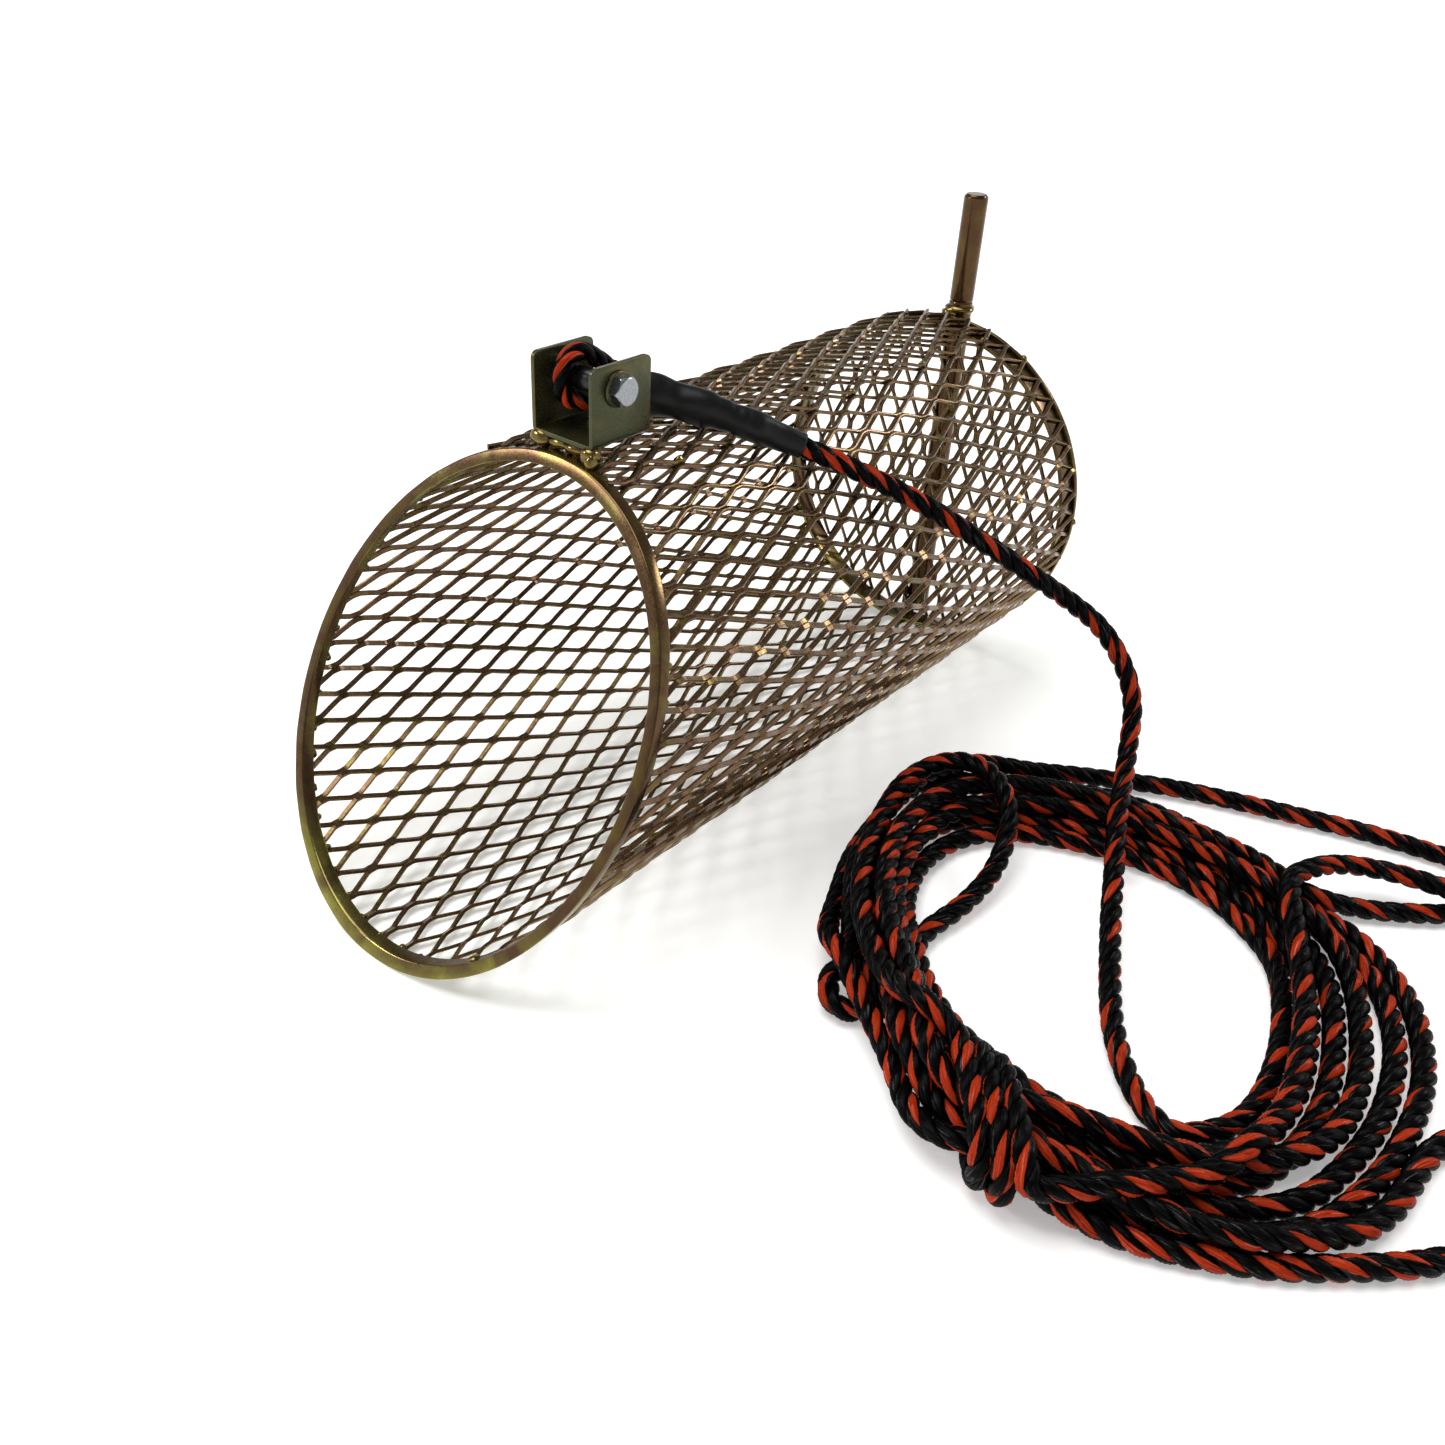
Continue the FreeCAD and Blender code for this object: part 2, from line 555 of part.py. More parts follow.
def rope_tube(route, radius):
    """Straight runs joined by tangent arcs, each as large as its two runs allow."""
    points = [vec(*point) for point in route]
    edges = []
    radii = []
    here = points[0]
    for index in range(1, len(points) - 1):
        corner = points[index]
        back = points[index - 1] - corner
        on = points[index + 1] - corner
        short = 0.45 * min(back.Length, on.Length)
        back.normalize()
        on.normalize()
        half = back.getAngle(on) / 2
        radii.append(short * math.tan(half))
        start = corner + back * short
        end = corner + on * short
        middle_way = (back + on).normalize()
        centre_far = short / math.cos(half)
        middle = corner + middle_way * (centre_far - radii[-1])
        edges.append(Part.LineSegment(here, start).toShape())
        edges.append(Part.Arc(start, middle, end).toShape())
        here = end
    edges.append(Part.LineSegment(here, points[-1]).toShape())
    path = Part.Wire(edges)
    profile = Part.Wire(Part.makeCircle(radius, points[0], points[1] - points[0]))
    tube = path.makePipeShell([profile], True, False)
    section = math.pi * radius ** 2
    print("rope length", round(path.Length, 1), "least radius", round(min(radii), 1),
          "volume ratio", round(tube.Volume / (section * path.Length), 4))
    return tube


def closed_curve(points):
    curve = Part.BSplineCurve()
    curve.interpolate(Points=[vec(x, y, 0) for x, y in points], PeriodicFlag=True)
    return Part.Wire(curve.toShape())


def rope_coil():
    outside = Part.Face(closed_curve(COIL_OUTSIDE))
    inside = Part.Face(closed_curve(COIL_INSIDE))
    ring = outside.cut(inside).extrude(vec(0, 0, COIL_HEIGHT))
    rims = [edge for edge in ring.Edges if edge.CenterOfMass.z > COIL_HEIGHT - COIL_ROUND]
    return ring.makeFillet(COIL_ROUND, [edge for edge in rims if edge.Length > 2 * COIL_HEIGHT])


PARTS = {
    "mesh_body": mesh_body,
    "mesh_lap": mesh_lap,
    "end_cap_mesh": end_cap_mesh,
    "mouth_ring": mouth_ring,
    "mouth_ring_joint": mouth_ring_joint,
    "mouth_welds": mouth_welds,
    "rear_band": rear_band,
    "rear_welds": rear_welds,
    "lap_welds": lap_welds,
    "cap_welds": cap_welds,
    "cross_rod": cross_rod,
    "rod_welds": rod_welds,
    "tow_bracket": tow_bracket,
    "bracket_welds": bracket_welds,
    "tow_bolt": tow_bolt,
    "tow_nut": tow_nut,
    "bolt_washers": bolt_washers,
    "roller_sleeve": roller_sleeve,
    "rope_eye": rope_eye,
    "heat_shrink": heat_shrink,
}


def main():
    os.makedirs("parts", exist_ok=True)
    for name, make in PARTS.items():
        save(name, make())
    save("rope_lead", rope_tube([sleeve_place(len(SLEEVE) - 1)] + LEAD, ROPE_R))
    save("rope_outer_turn", rope_tube(OUTER_TURN, ROPE_R))
    save("rope_side_turn", rope_tube(SIDE_TURN, ROPE_R))
    save("rope_end", rope_tube(FREE_END, ROPE_R))
    save("rope_coil", rope_coil())


main()
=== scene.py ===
import bpy
import numpy as np
from mathutils import Matrix, Vector


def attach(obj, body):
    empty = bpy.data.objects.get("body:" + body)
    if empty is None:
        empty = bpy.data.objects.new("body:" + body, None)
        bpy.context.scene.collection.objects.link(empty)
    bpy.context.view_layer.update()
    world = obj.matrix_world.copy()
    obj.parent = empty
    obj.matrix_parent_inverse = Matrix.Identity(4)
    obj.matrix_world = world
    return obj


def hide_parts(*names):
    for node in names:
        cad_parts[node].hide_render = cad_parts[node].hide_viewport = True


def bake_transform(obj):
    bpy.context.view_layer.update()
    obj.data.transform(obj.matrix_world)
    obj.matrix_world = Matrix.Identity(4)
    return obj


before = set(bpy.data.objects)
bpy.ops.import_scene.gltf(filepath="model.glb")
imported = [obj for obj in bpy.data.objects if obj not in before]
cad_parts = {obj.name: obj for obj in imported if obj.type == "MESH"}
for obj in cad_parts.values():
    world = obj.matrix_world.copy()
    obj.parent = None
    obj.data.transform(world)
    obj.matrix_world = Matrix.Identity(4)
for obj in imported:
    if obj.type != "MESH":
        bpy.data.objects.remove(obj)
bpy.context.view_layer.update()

# Scoop basket of expanded metal, yellow zinc plated, with a roller tow bracket and a coiled tow rope.
# Sizes are in millimetres, with y = 0 at the middle of the mouth. metres() turns them into the frame.

MOUTH_TO_ORIGIN = 156.4976
AXIS_HEIGHT = 93.0
MOUTH_LEAN = 0.5936
BASKET_LENGTH = 353.5
SHEET_RADIUS = 90.9      # middle of the expanded sheet
LAP_RADIUS = 93.4        # middle of its lapped layer
HOOP_RADIUS = 90.6       # middle of the mouth hoop's bar
HOOP_BAR = 4.8
HOOP_WIDTH = 6.0
HOOP_STEPS = 240
BAND_RADIUS = 88.85      # middle of the rear hoop's bar
BAND_BAR = 2.1
BAND_WIDTH = 12.5
ROD_Y = 361.85
ROD_RADIUS = 6.35
BOLT_CENTRE = (0.0, 72.8, 212.4)
BOLT_FLATS = 11.1
BOLT_RADIUS = 3.15
BOLT_SEAT = 17.9         # from the middle to the washers' outer faces
THREAD_PITCH = 1.27
BRACKET_HALF = 16.4      # from the middle to an ear's outside, and to the bracket's front and back
BRACKET_Y = 75.3         # middle of the bracket's depth
BRACKET_TOP = 222.2
BRACKET_FLOOR = 190.4    # underside
PLATE = 1.9
TAU = 2 * np.pi


def metres(points):
    """Millimetres from the mouth's middle, as metres in the frame."""
    return (np.asarray(points, float) - (0, MOUTH_TO_ORIGIN, 0)) * 0.001


def unit(vectors):
    return vectors / np.maximum(np.linalg.norm(vectors, axis=-1, keepdims=True), 1e-12)


def new_object(name, data):
    """An object in the scene."""
    made = bpy.data.objects.new(name, data)
    bpy.context.scene.collection.objects.link(made)
    return made


def ease(t):
    t = np.clip(t, 0, 1)
    return t * t * (3 - 2 * t)


# ---- camera ----
def make_camera():
    """A camera placed by its eye point and its own right, up and back directions."""
    right = (0.77197412, 0.63378851, 0.04866283)
    up = (-0.3763816, 0.39406523, 0.83848046)
    back = (0.51224295, -0.66560102, 0.5427545)
    data = bpy.data.cameras.new("studio_camera")
    data.sensor_width = 36
    data.lens = 32.208
    data.clip_start = 0.01
    camera = new_object("studio_camera", data)
    place = Matrix((right, up, back)).transposed().to_4x4()
    place.translation = (0.346045, -0.434910, 0.374404)
    camera.matrix_world = place
    bpy.context.scene.camera = camera


make_camera()


# ---- mesh building ----
def grid_faces(count, rings, sides, start, closed_long):
    """Quads of count tubes of rings by sides, wrapped round each ring, and the corners of the flat ends."""
    tube = np.arange(count)[:, None, None] * rings * sides + start
    ring = np.arange(rings if closed_long else rings - 1)[None, :, None]
    side = np.arange(sides)[None, None, :]
    here = tube + ring * sides
    there = tube + (ring + 1) % rings * sides
    after = (side + 1) % sides
    quads = np.stack([here + side, here + after, there + after, there + side], -1).reshape(-1, 4)
    caps = np.zeros((0, sides), int)
    if not closed_long:
        first = np.arange(count)[:, None] * rings * sides + start
        low = first + np.arange(sides)[::-1]
        high = first + (rings - 1) * sides + np.arange(sides)
        caps = np.concatenate([low, high])
    return quads, caps


def make_piece(name, tubes, closed_long=False, uvs=None, smooth=True):
    """One mesh object out of tubes, each an array of rings by sides by 3 or a stack of them, in millimetres.
    uvs has, for each tube, an array of rings by sides + 1 by 2: the last column is the seam's other side."""
    points, quads, caps, corner_uvs = [], [], [], []
    start = 0
    for index, tube in enumerate(tubes):
        tube = tube if tube.ndim == 4 else tube[None]
        count, rings, sides = tube.shape[:3]
        q, c = grid_faces(count, rings, sides, start, closed_long)
        points.append(tube.reshape(-1, 3))
        quads.append(q)
        caps.append(c)
        if uvs is not None:
            uv = uvs[index] if uvs[index].ndim == 4 else uvs[index][None]
            a, b = uv[:, :-1, :-1], uv[:, :-1, 1:]
            d, e = uv[:, 1:, 1:], uv[:, 1:, :-1]
            corner_uvs.append(np.stack([a, b, d, e], 3).reshape(-1, 2))
        start += count * rings * sides
    points = metres(np.concatenate(points))
    quads = np.concatenate(quads)
    a, b, c, d = (points[quads[:, i]] for i in range(4))
    outward = np.einsum("ij,ij->i", a, np.cross(b, c)).sum() + np.einsum("ij,ij->i", a, np.cross(c, d)).sum()
    flip = outward < 0
    corners, sizes = [quads[:, ::-1] if flip else quads], [np.full(len(quads), 4)]
    for cap in caps:
        if len(cap):
            corners.append(cap[:, ::-1] if flip else cap)
            sizes.append(np.full(len(cap), cap.shape[1]))
    sizes = np.concatenate(sizes)
    mesh = bpy.data.meshes.new(name)
    mesh.vertices.add(len(points))
    mesh.vertices.foreach_set("co", points.ravel().astype(np.float32))
    loops = np.concatenate([c.ravel() for c in corners]).astype(np.int32)
    mesh.loops.add(len(loops))
    mesh.loops.foreach_set("vertex_index", loops)
    mesh.polygons.add(len(sizes))
    mesh.polygons.foreach_set("loop_start", (np.cumsum(sizes) - sizes).astype(np.int32))
    mesh.polygons.foreach_set("use_smooth", np.full(len(sizes), smooth))
    if uvs is not None:
        values = np.concatenate(corner_uvs)
        if flip:
            values = values.reshape(-1, 4, 2)[:, ::-1].reshape(-1, 2)
        whole = np.zeros((len(loops), 2))
        whole[: len(values)] = values
        layer = mesh.uv_layers.new(name="lay")
        layer.data.foreach_set("uv", whole.ravel().astype(np.float32))
    mesh.update(calc_edges=True)
    mesh.validate()
    return new_object(name, mesh)


def finish_piece(piece, body, nodes, material):
    """Gives a piece its material and its body, and hides the CAD nodes it stands for."""
    piece.data.materials.append(material)
    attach(piece, body)
    if nodes:
        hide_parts(*nodes)
    return piece


def add_piece(name, tubes, nodes, material, closed_long=False, smooth=True, body="root"):
    """Makes a piece out of tubes and finishes it."""
    piece = make_piece(name, tubes, closed_long=closed_long, smooth=smooth)
    return finish_piece(piece, body, nodes, material)


def smooth_noise(points, size, seed):
    """A soft random value for each point, mostly -1 to 1: eight plane waves about size millimetres long."""
    rng = np.random.default_rng(seed)
    waves = unit(rng.normal(size=(8, 3))) * TAU / (size * rng.uniform(0.7, 1.6, (8, 1)))
    phases = rng.uniform(0, TAU, 8)
    return np.sin(np.asarray(points) @ waves.T + phases).sum(-1) / 3.2


# ---- materials ----
def tone(hex_value):
    """An sRGB hex colour as linear RGBA."""
    parts = np.array([int(hex_value[i:i + 2], 16) for i in (1, 3, 5)]) / 255
    linear = np.where(parts <= 0.04045, parts / 12.92, ((parts + 0.055) / 1.055) ** 2.4)
    return (*linear, 1.0)


def add(tree, kind, settings=(), **links):
    """Adds a node. settings are its properties, or an input's value by name or number. links are sockets to
    join to its inputs: i0 is the first input, and any other key is an input's name."""
    made = tree.nodes.new(kind)
    for key, value in dict(settings).items():
        if isinstance(key, int) or key in made.inputs:
            made.inputs[key].default_value = value
        else:
            setattr(made, key, value)
    for key, source in links.items():
        name = key.replace("_", " ")
        socket = made.inputs[int(key[1:])] if key[0] == "i" and key[1:].isdigit() else made.inputs[name]
        tree.links.new(source, socket)
    return made


def new_material(name):
    made = bpy.data.materials.new(name)
    made.use_nodes = True
    tree = made.node_tree
    tree.nodes.clear()
    out = tree.nodes.new("ShaderNodeOutputMaterial")
    shader = tree.nodes.new("ShaderNodeBsdfPrincipled")
    tree.links.new(shader.outputs[0], out.inputs[0])
    return made, tree, shader


def remap(tree, source, low, high, first=0.0, last=1.0):
    """Carries a value from the range first to last over to the range low to high."""
    ranges = {"From Min": first, "From Max": last, "To Min": low, "To Max": high}
    return add(tree, "ShaderNodeMapRange", ranges, Value=source).outputs[0]


def texture_skin(tree, shader, source, roughness, strength, height):
    """Lets one value drive the roughness, given as remap's range, and a bump of some metres' height."""
    tree.links.new(remap(tree, source, *roughness), shader.inputs["Roughness"])
    bump = add(tree, "ShaderNodeBump", {"Strength": strength, "Distance": height}, Height=source)
    tree.links.new(bump.outputs[0], shader.inputs["Normal"])


def ramp(tree, source, stops):
    """A colour ramp with stops of (position, hex)."""
    made = add(tree, "ShaderNodeValToRGB", i0=source)
    band = made.color_ramp
    while len(band.elements) < len(stops):
        band.elements.new(0.5)
    for element, (position, colour) in zip(band.elements, stops):
        element.position = position
        element.color = tone(colour)
    return made.outputs["Color"]


FLOOR_REFLECTION_HEIGHT = 0.07       # metres from the floor, where the painted reflection of the floor ends


def chromate_zinc(name, stops, rough, film_size, grit, grit_height, painted_reflection_by_facing=0.0, metallic=0.9, floor_reflection=0.0):
    """Zinc plate with a yellow chromate film. The film's thickness drifts over about film_size millimetres,
    which moves its colour along the stops. The tint by facing is painted reflection: faces that look up move
    further along the stops, as if they mirrored a dim ceiling, and faces that look down move back, as if they
    mirrored the floor. The floor term paints the floor's reflection on the part's lowest few centimetres by
    moving them back along the stops. The plate under the film has a fine grit, grit_height millimetres high."""
    made, tree, shader = new_material(name)
    place = add(tree, "ShaderNodeTexCoord").outputs["Object"]
    drift = add(tree, "ShaderNodeTexNoise", {"Scale": 1000 / film_size, "Detail": 3.0, "Roughness": 0.62,
                                             "Distortion": 0.6}, Vector=place).outputs[0]
    source = drift
    if painted_reflection_by_facing:
        # painted reflection: faces that look up move towards the browns and rose, as if mirroring a dim
        # ceiling, faces that look down towards the olives, as if mirroring the floor
        normal = add(tree, "ShaderNodeNewGeometry").outputs["Normal"]
        height = add(tree, "ShaderNodeSeparateXYZ", Vector=normal).outputs["Z"]
        lean = remap(tree, height, -painted_reflection_by_facing, painted_reflection_by_facing, -1.0, 1.0)
        source = add(tree, "ShaderNodeMath", {"operation": "ADD"}, i0=drift, i1=lean).outputs[0]
    if floor_reflection:
        # painted reflection of the floor: the lowest few centimetres move back along the stops, towards the
        # olives
        low = add(tree, "ShaderNodeSeparateXYZ", Vector=place).outputs["Z"]
        shift = remap(tree, low, -floor_reflection, 0.0, 0.0, FLOOR_REFLECTION_HEIGHT)
        source = add(tree, "ShaderNodeMath", {"operation": "ADD"}, i0=source, i1=shift).outputs[0]
    colour = ramp(tree, source, stops)
    tree.links.new(colour, shader.inputs["Base Color"])
    shader.inputs["Metallic"].default_value = metallic
    fine = add(tree, "ShaderNodeTexNoise", {"Scale": 1000 / grit, "Detail": 2.0}, Vector=place).outputs[0]
    texture_skin(tree, shader, fine, (rough - 0.06, rough + 0.08, 0.3, 0.7), 0.5, grit_height * 0.001)
    return made


# Sheared and drawn strands: satin, and painted reflection makes them brown to rose where they face up, olive
# and lime towards the floor.
strand_zinc = chromate_zinc("yellow_chromate_expanded_steel", [
    (0.0, "#8b9443"), (0.22, "#7b743c"), (0.42, "#735f38"), (0.58, "#705545"), (0.75, "#5b472d"),
    (0.95, "#85753f"),
], 0.24, film_size=7.0, grit=0.45, grit_height=0.01, painted_reflection_by_facing=0.28)
# Rolled flat bar: a warmer brown film with rose and olive drifts, and painted reflection: browner where it
# faces up, olive where it faces down and near the floor.
bar_zinc = chromate_zinc("yellow_chromate_rolled_bar", [
    (0.0, "#949a4c"), (0.25, "#7f7838"), (0.42, "#645832"), (0.6, "#523b2a"), (0.85, "#655829"),
], 0.2, film_size=26.0, grit=0.8, grit_height=0.012, painted_reflection_by_facing=0.24, floor_reflection=0.3)
# Folded sheet: olive green film, smudged with gold and rose, with a faint painted reflection by facing.
plate_zinc = chromate_zinc("yellow_chromate_folded_plate", [
    (0.0, "#4b5033"), (0.3, "#40452c"), (0.5, "#3d4029"), (0.66, "#524b2d"), (0.9, "#604637"),
], 0.3, film_size=30.0, grit=0.7, grit_height=0.004, painted_reflection_by_facing=0.04, metallic=0.75)
# Drawn round bar: browner than the hoops, with a slight painted reflection by facing.
rod_zinc = chromate_zinc("yellow_chromate_drawn_rod", [
    (0.0, "#5f5a34"), (0.35, "#544227"), (0.55, "#4a3423"), (0.75, "#524227"), (0.95, "#60562d"),
], 0.2, film_size=24.0, grit=0.8, grit_height=0.008, painted_reflection_by_facing=0.1)
# Weld metal under the same film: a little brighter and glassy.
weld_zinc = chromate_zinc("yellow_chromate_weld_bead", [
    (0.0, "#6e6636"), (0.35, "#7a6a3c"), (0.6, "#62502c"), (0.85, "#594330"),
], 0.16, film_size=6.0, grit=0.6, grit_height=0.01)


def bright_zinc():
    """Bright zinc plate, for the bolt and nut: mid-grey metal with a fine satin grain."""
    made, tree, shader = new_material("bright_zinc_plate")
    place = add(tree, "ShaderNodeTexCoord").outputs["Object"]
    grain = add(tree, "ShaderNodeTexNoise", {"Scale": 900.0, "Detail": 3.0}, Vector=place).outputs[0]
    tree.links.new(ramp(tree, grain, [(0.3, "#94979b"), (0.7, "#85888c")]), shader.inputs["Base Color"])
    shader.inputs["Metallic"].default_value = 1.0
    texture_skin(tree, shader, grain, (0.2, 0.36), 0.3, 0.00003)
    return made


def black_moulded(name, base, light, rough, size, height, gloss=0.3):
    """Black plastic or rubber: a faint mottle, and a skin of the given size and height in millimetres."""
    made, tree, shader = new_material(name)
    place = add(tree, "ShaderNodeTexCoord").outputs["Object"]
    skin = add(tree, "ShaderNodeTexNoise", {"Scale": 1000 / size, "Detail": 4.0}, Vector=place).outputs[0]
    tree.links.new(ramp(tree, skin, [(0.3, base), (0.75, light)]), shader.inputs["Base Color"])
    shader.inputs["Specular IOR Level"].default_value = gloss
    texture_skin(tree, shader, skin, (rough - 0.1, rough + 0.12), 0.5, height * 0.001)
    return made


def laid_rope():
    """Black split-film polypropylene with an orange tracer in each strand. On the 'lay' map, u counts turns
    round the strand in a direction that doesn't turn with the rope, so a yarn keeps its u, and v is metres."""
    made, tree, shader = new_material("three_strand_polypropylene")
    lay = add(tree, "ShaderNodeUVMap", {"uv_map": "lay"}).outputs[0]
    parts = add(tree, "ShaderNodeSeparateXYZ", Vector=lay).outputs
    place = add(tree, "ShaderNodeTexCoord").outputs["Object"]
    wander = add(tree, "ShaderNodeTexNoise", {"Scale": 260.0, "Detail": 2.0}, Vector=place).outputs[0]
    shift = remap(tree, wander, -0.035, 0.035)
    turn = add(tree, "ShaderNodeMath", {"operation": "ADD"}, i0=parts["X"], i1=shift).outputs[0]
    around = add(tree, "ShaderNodeMath", {"operation": "PINGPONG", 1: 0.5}, i0=turn).outputs[0]
    edge = remap(tree, around, 1.0, 0.0, 0.095, 0.112)
    film = add(tree, "ShaderNodeCombineXYZ", i0=parts["X"], i1=parts["Y"])
    threads = add(tree, "ShaderNodeMapping", {"Scale": (26.0, 60.0, 1.0)}, Vector=film.outputs[0]).outputs[0]
    fibres = add(tree, "ShaderNodeTexNoise", {"Scale": 1.0, "Detail": 4.0, "Roughness": 0.6},
                 Vector=threads).outputs[0]
    black = ramp(tree, fibres, [(0.35, "#010101"), (0.6, "#040404"), (0.8, "#141617")])
    orange = ramp(tree, fibres, [(0.3, "#6c1a0a"), (0.55, "#a53013"), (0.8, "#c85028")])
    mixed = add(tree, "ShaderNodeMix", {"data_type": "RGBA"}, i0=edge, i6=black, i7=orange)
    tree.links.new(mixed.outputs[2], shader.inputs["Base Color"])
    # only the loose film edges catch the light
    glints = remap(tree, fibres, 0.04, 0.9, 0.58, 0.74)
    tree.links.new(glints, shader.inputs["Specular IOR Level"])
    texture_skin(tree, shader, fibres, (0.18, 0.5), 0.8, 0.0003)
    return made


zinc_bolt = bright_zinc()
roller_black = black_moulded("black_acetal_tube", "#0b0b0c", "#17181a", 0.24, 3.0, 0.02)
shrink_black = black_moulded("adhesive_heat_shrink_tube", "#040505", "#0b0c0c", 0.4, 1.4, 0.04, gloss=0.2)
rope_black = laid_rope()


# ---- rope route ----
ROPE = 9.5
CONTROL_SPACING = 14.0   # between control points where the coil has settled

LEAD = [
    (48.8, 151, 178), (66, 172, 166), (84, 191, 153), (103, 210, 137), (122, 227, 121), (141, 243, 106),
    (160, 258, 88), (177, 262, 61), (187, 243, 39), (198, 214, 28), (210, 188, 21), (223, 160, 14),
    (237, 131, 9), (252, 104, 6), (270, 84, 5), (288, 74, 5),
]
OUTER_TURN = [
    (322, 37, 5), (347, 55, 5), (375, 82, 5), (400, 115, 5), (419, 154, 5), (431, 196, 5), (434, 238, 5),
    (423, 277, 5), (398, 308, 5), (362, 324, 5), (321, 323, 5), (281, 314, 5), (243, 301, 5), (206, 288, 5),
    (176, 272, 5),
]
SIDE_TURN = [
    (273, 224, 24), (277, 241, 22), (284, 258, 19), (297, 271, 16), (317, 278, 16), (346, 283, 15),
    (374, 275, 7), (394, 252, 5), (400, 222, 5), (394, 190, 5), (380, 161, 5), (362, 136, 5),
]
FREE_END = [(277, 236, 13), (290, 246, 7), (306, 256, 5), (322, 268, 5), (336, 281, 5), (350, 296, 5)]
# the loose turn: a doubling back outside the bundle, under it, and over its head
LOOSE_TURN = [
    (155, 64, 13), (151, 54, 10), (158, 45, 7), (168, 47, 5), (172, 60, 5), (170, 76, 5), (167, 92, 5),
    (164, 108, 5), (167, 124, 6), (169, 140, 8), (169, 157, 11), (165, 173, 17), (158, 187, 24),
    (146, 197, 28.5), (131, 203, 28.5), (117, 199, 26), (110, 184, 24), (110, 166, 23),
]
TO_HITCH = [
    (114, 147, 22), (119, 128, 22), (130, 107, 23), (144, 86, 25), (159, 66, 28), (176, 51, 30), (192, 40, 31),
    (206, 36, 32),
]
# lines across the coil, from the innermost rope to the outermost: inner x, inner y, outer x, outer y
STATIONS = np.array([
    (264, 62, 268, 15), (282, 69, 299, 25), (299, 79, 326, 40), (310, 96, 348, 66),
    (312, 122, 355, 104), (306, 146, 356, 138), (297, 172, 352, 172), (287, 197, 340, 205),
    (271, 215, 314, 233), (251, 223, 272, 250), (227, 222, 240, 262), (202, 218, 205, 268),
    (178, 209, 176, 265), (155, 198, 146, 240), (140, 181, 112, 222), (136, 159, 98, 205),
    (136, 138, 103, 172), (142, 115, 110, 139), (155, 94, 125, 103), (173, 72, 147, 68),
    (196, 59, 177, 44), (218, 51, 211, 25), (241, 51, 244, 12),
], float)
# for each dense turn, its share of the way out and its height, at the coil's foot, right, head and left
TURNS = [
    [(0.00, 5), (0.00, 5), (0.00, 5), (0.00, 5)],
    [(0.22, 5), (0.17, 5), (0.22, 5), (0.33, 5)],
    [(0.44, 5), (0.38, 5), (0.45, 5), (0.66, 5)],
    [(0.33, 13), (0.53, 6), (0.33, 13), (0.17, 13)],
    [(0.62, 5), (0.80, 5), (0.64, 5), (0.50, 13)],
    [(0.84, 5), (1.00, 5), (0.86, 5), (1.00, 5)],
    [(1.00, 5)],
]
QUARTERS = [0, 6, 11, 17, len(STATIONS)]
# how far the bundle is held up where the loose turn and the hitch pass under it
HELD_UP = np.interp(np.arange(len(STATIONS)), [0, 1, 2, 16, 17, 18, 19, 22], [7, 3, 0, 0, 3, 7, 9.5, 9.5])


def station_point(station, share, height):
    """A point on a line across the coil."""
    x0, y0, x1, y1 = STATIONS[station]
    return (x0 + (x1 - x0) * share, y0 + (y1 - y0) * share, height)


def dense_turns():
    """Six turns, each eased from its slot at one quarter of the coil to its slot at the next."""
    points = []
    for turn in range(6):
        keys = TURNS[turn] + TURNS[turn + 1][:1]
        for station in range(2 if turn == 0 else 0, len(STATIONS)):
            quarter = int(np.searchsorted(QUARTERS, station, side="right")) - 1
            way = (station - QUARTERS[quarter]) / (QUARTERS[quarter + 1] - QUARTERS[quarter])
            way = ease((way - 0.35) / 0.6) if quarter == 3 else ease((way - 0.15) / 0.7)
            (s0, h0), (s1, h1) = keys[quarter], keys[quarter + 1]
            height = h0 + (h1 - h0) * way + HELD_UP[station]
            points.append(station_point(station, s0 + (s1 - s0) * way, height))
    return points + [station_point(0, 1.0, 8), station_point(1, 1.0, 5)]


def hitch():
    """A flattened helix, two turns round the bundle: a rounded rectangle with a step along it per turn."""
    turn = np.radians(np.arange(50, 2 * 360 + 200, 30))
    across = np.sign(np.cos(turn)) * np.abs(np.cos(turn)) ** 0.7
    rise = np.sign(np.sin(turn)) * np.abs(np.sin(turn)) ** 0.7
    middle = np.array([226, 27, 18.4])
    steps = turn[:, None] / TAU * np.array([9.2, -1.0, 0])
    ring = rise[:, None] * np.array([0, 0, 13.6]) - across[:, None] * np.array([16.4, -20.6, 0])
    return middle + ring + steps


def across_stations(rows):
    return [station_point(station, share, height) for station, share, height in rows]


def whole_route():
    """The rope's points in order, and which of them are held where they are."""
    runs = [
        (LEAD, True),
        (dense_turns(), False),
        (OUTER_TURN, True),
        (across_stations([(13, 1.05, 8), (14, 0.95, 12), (15, 0.87, 14), (16, 0.84, 15), (17, 0.84, 15),
                          (18, 0.9, 18)]), False),
        (LOOSE_TURN, True),
        (TO_HITCH, False),
        (hitch(), True),
        (across_stations([(1, 0.75, 15), (2, 0.5, 14), (3, 0.25, 13.5), (4, 0.1, 13.5), (5, 0.1, 13.5),
                          (6, 0.1, 13.5), (7, 0.05, 15)]), False),
        (SIDE_TURN, True),
        (across_stations([(4, 1.1, 5), (3, 1.08, 8), (2, 1.0, 14.5), (1, 0.85, 14.5), (0, 0.8, 18),
                          (22, 0.8, 23), (21, 0.7, 26), (20, 0.5, 29), (19, 0.4, 31), (18, 0.35, 30),
                          (17, 0.33, 26), (16, 0.33, 23), (15, 0.35, 22), (14, 0.4, 21), (13, 0.45, 18),
                          (12, 0.45, 15), (11, 0.5, 13.5), (10, 0.6, 13.5), (9, 0.75, 13.5)]), False),
        (FREE_END, True),
    ]
    points = np.concatenate([np.array(run, float) for run, held in runs])
    held = np.concatenate([np.full(len(run), held) for run, held in runs])
    return points, held


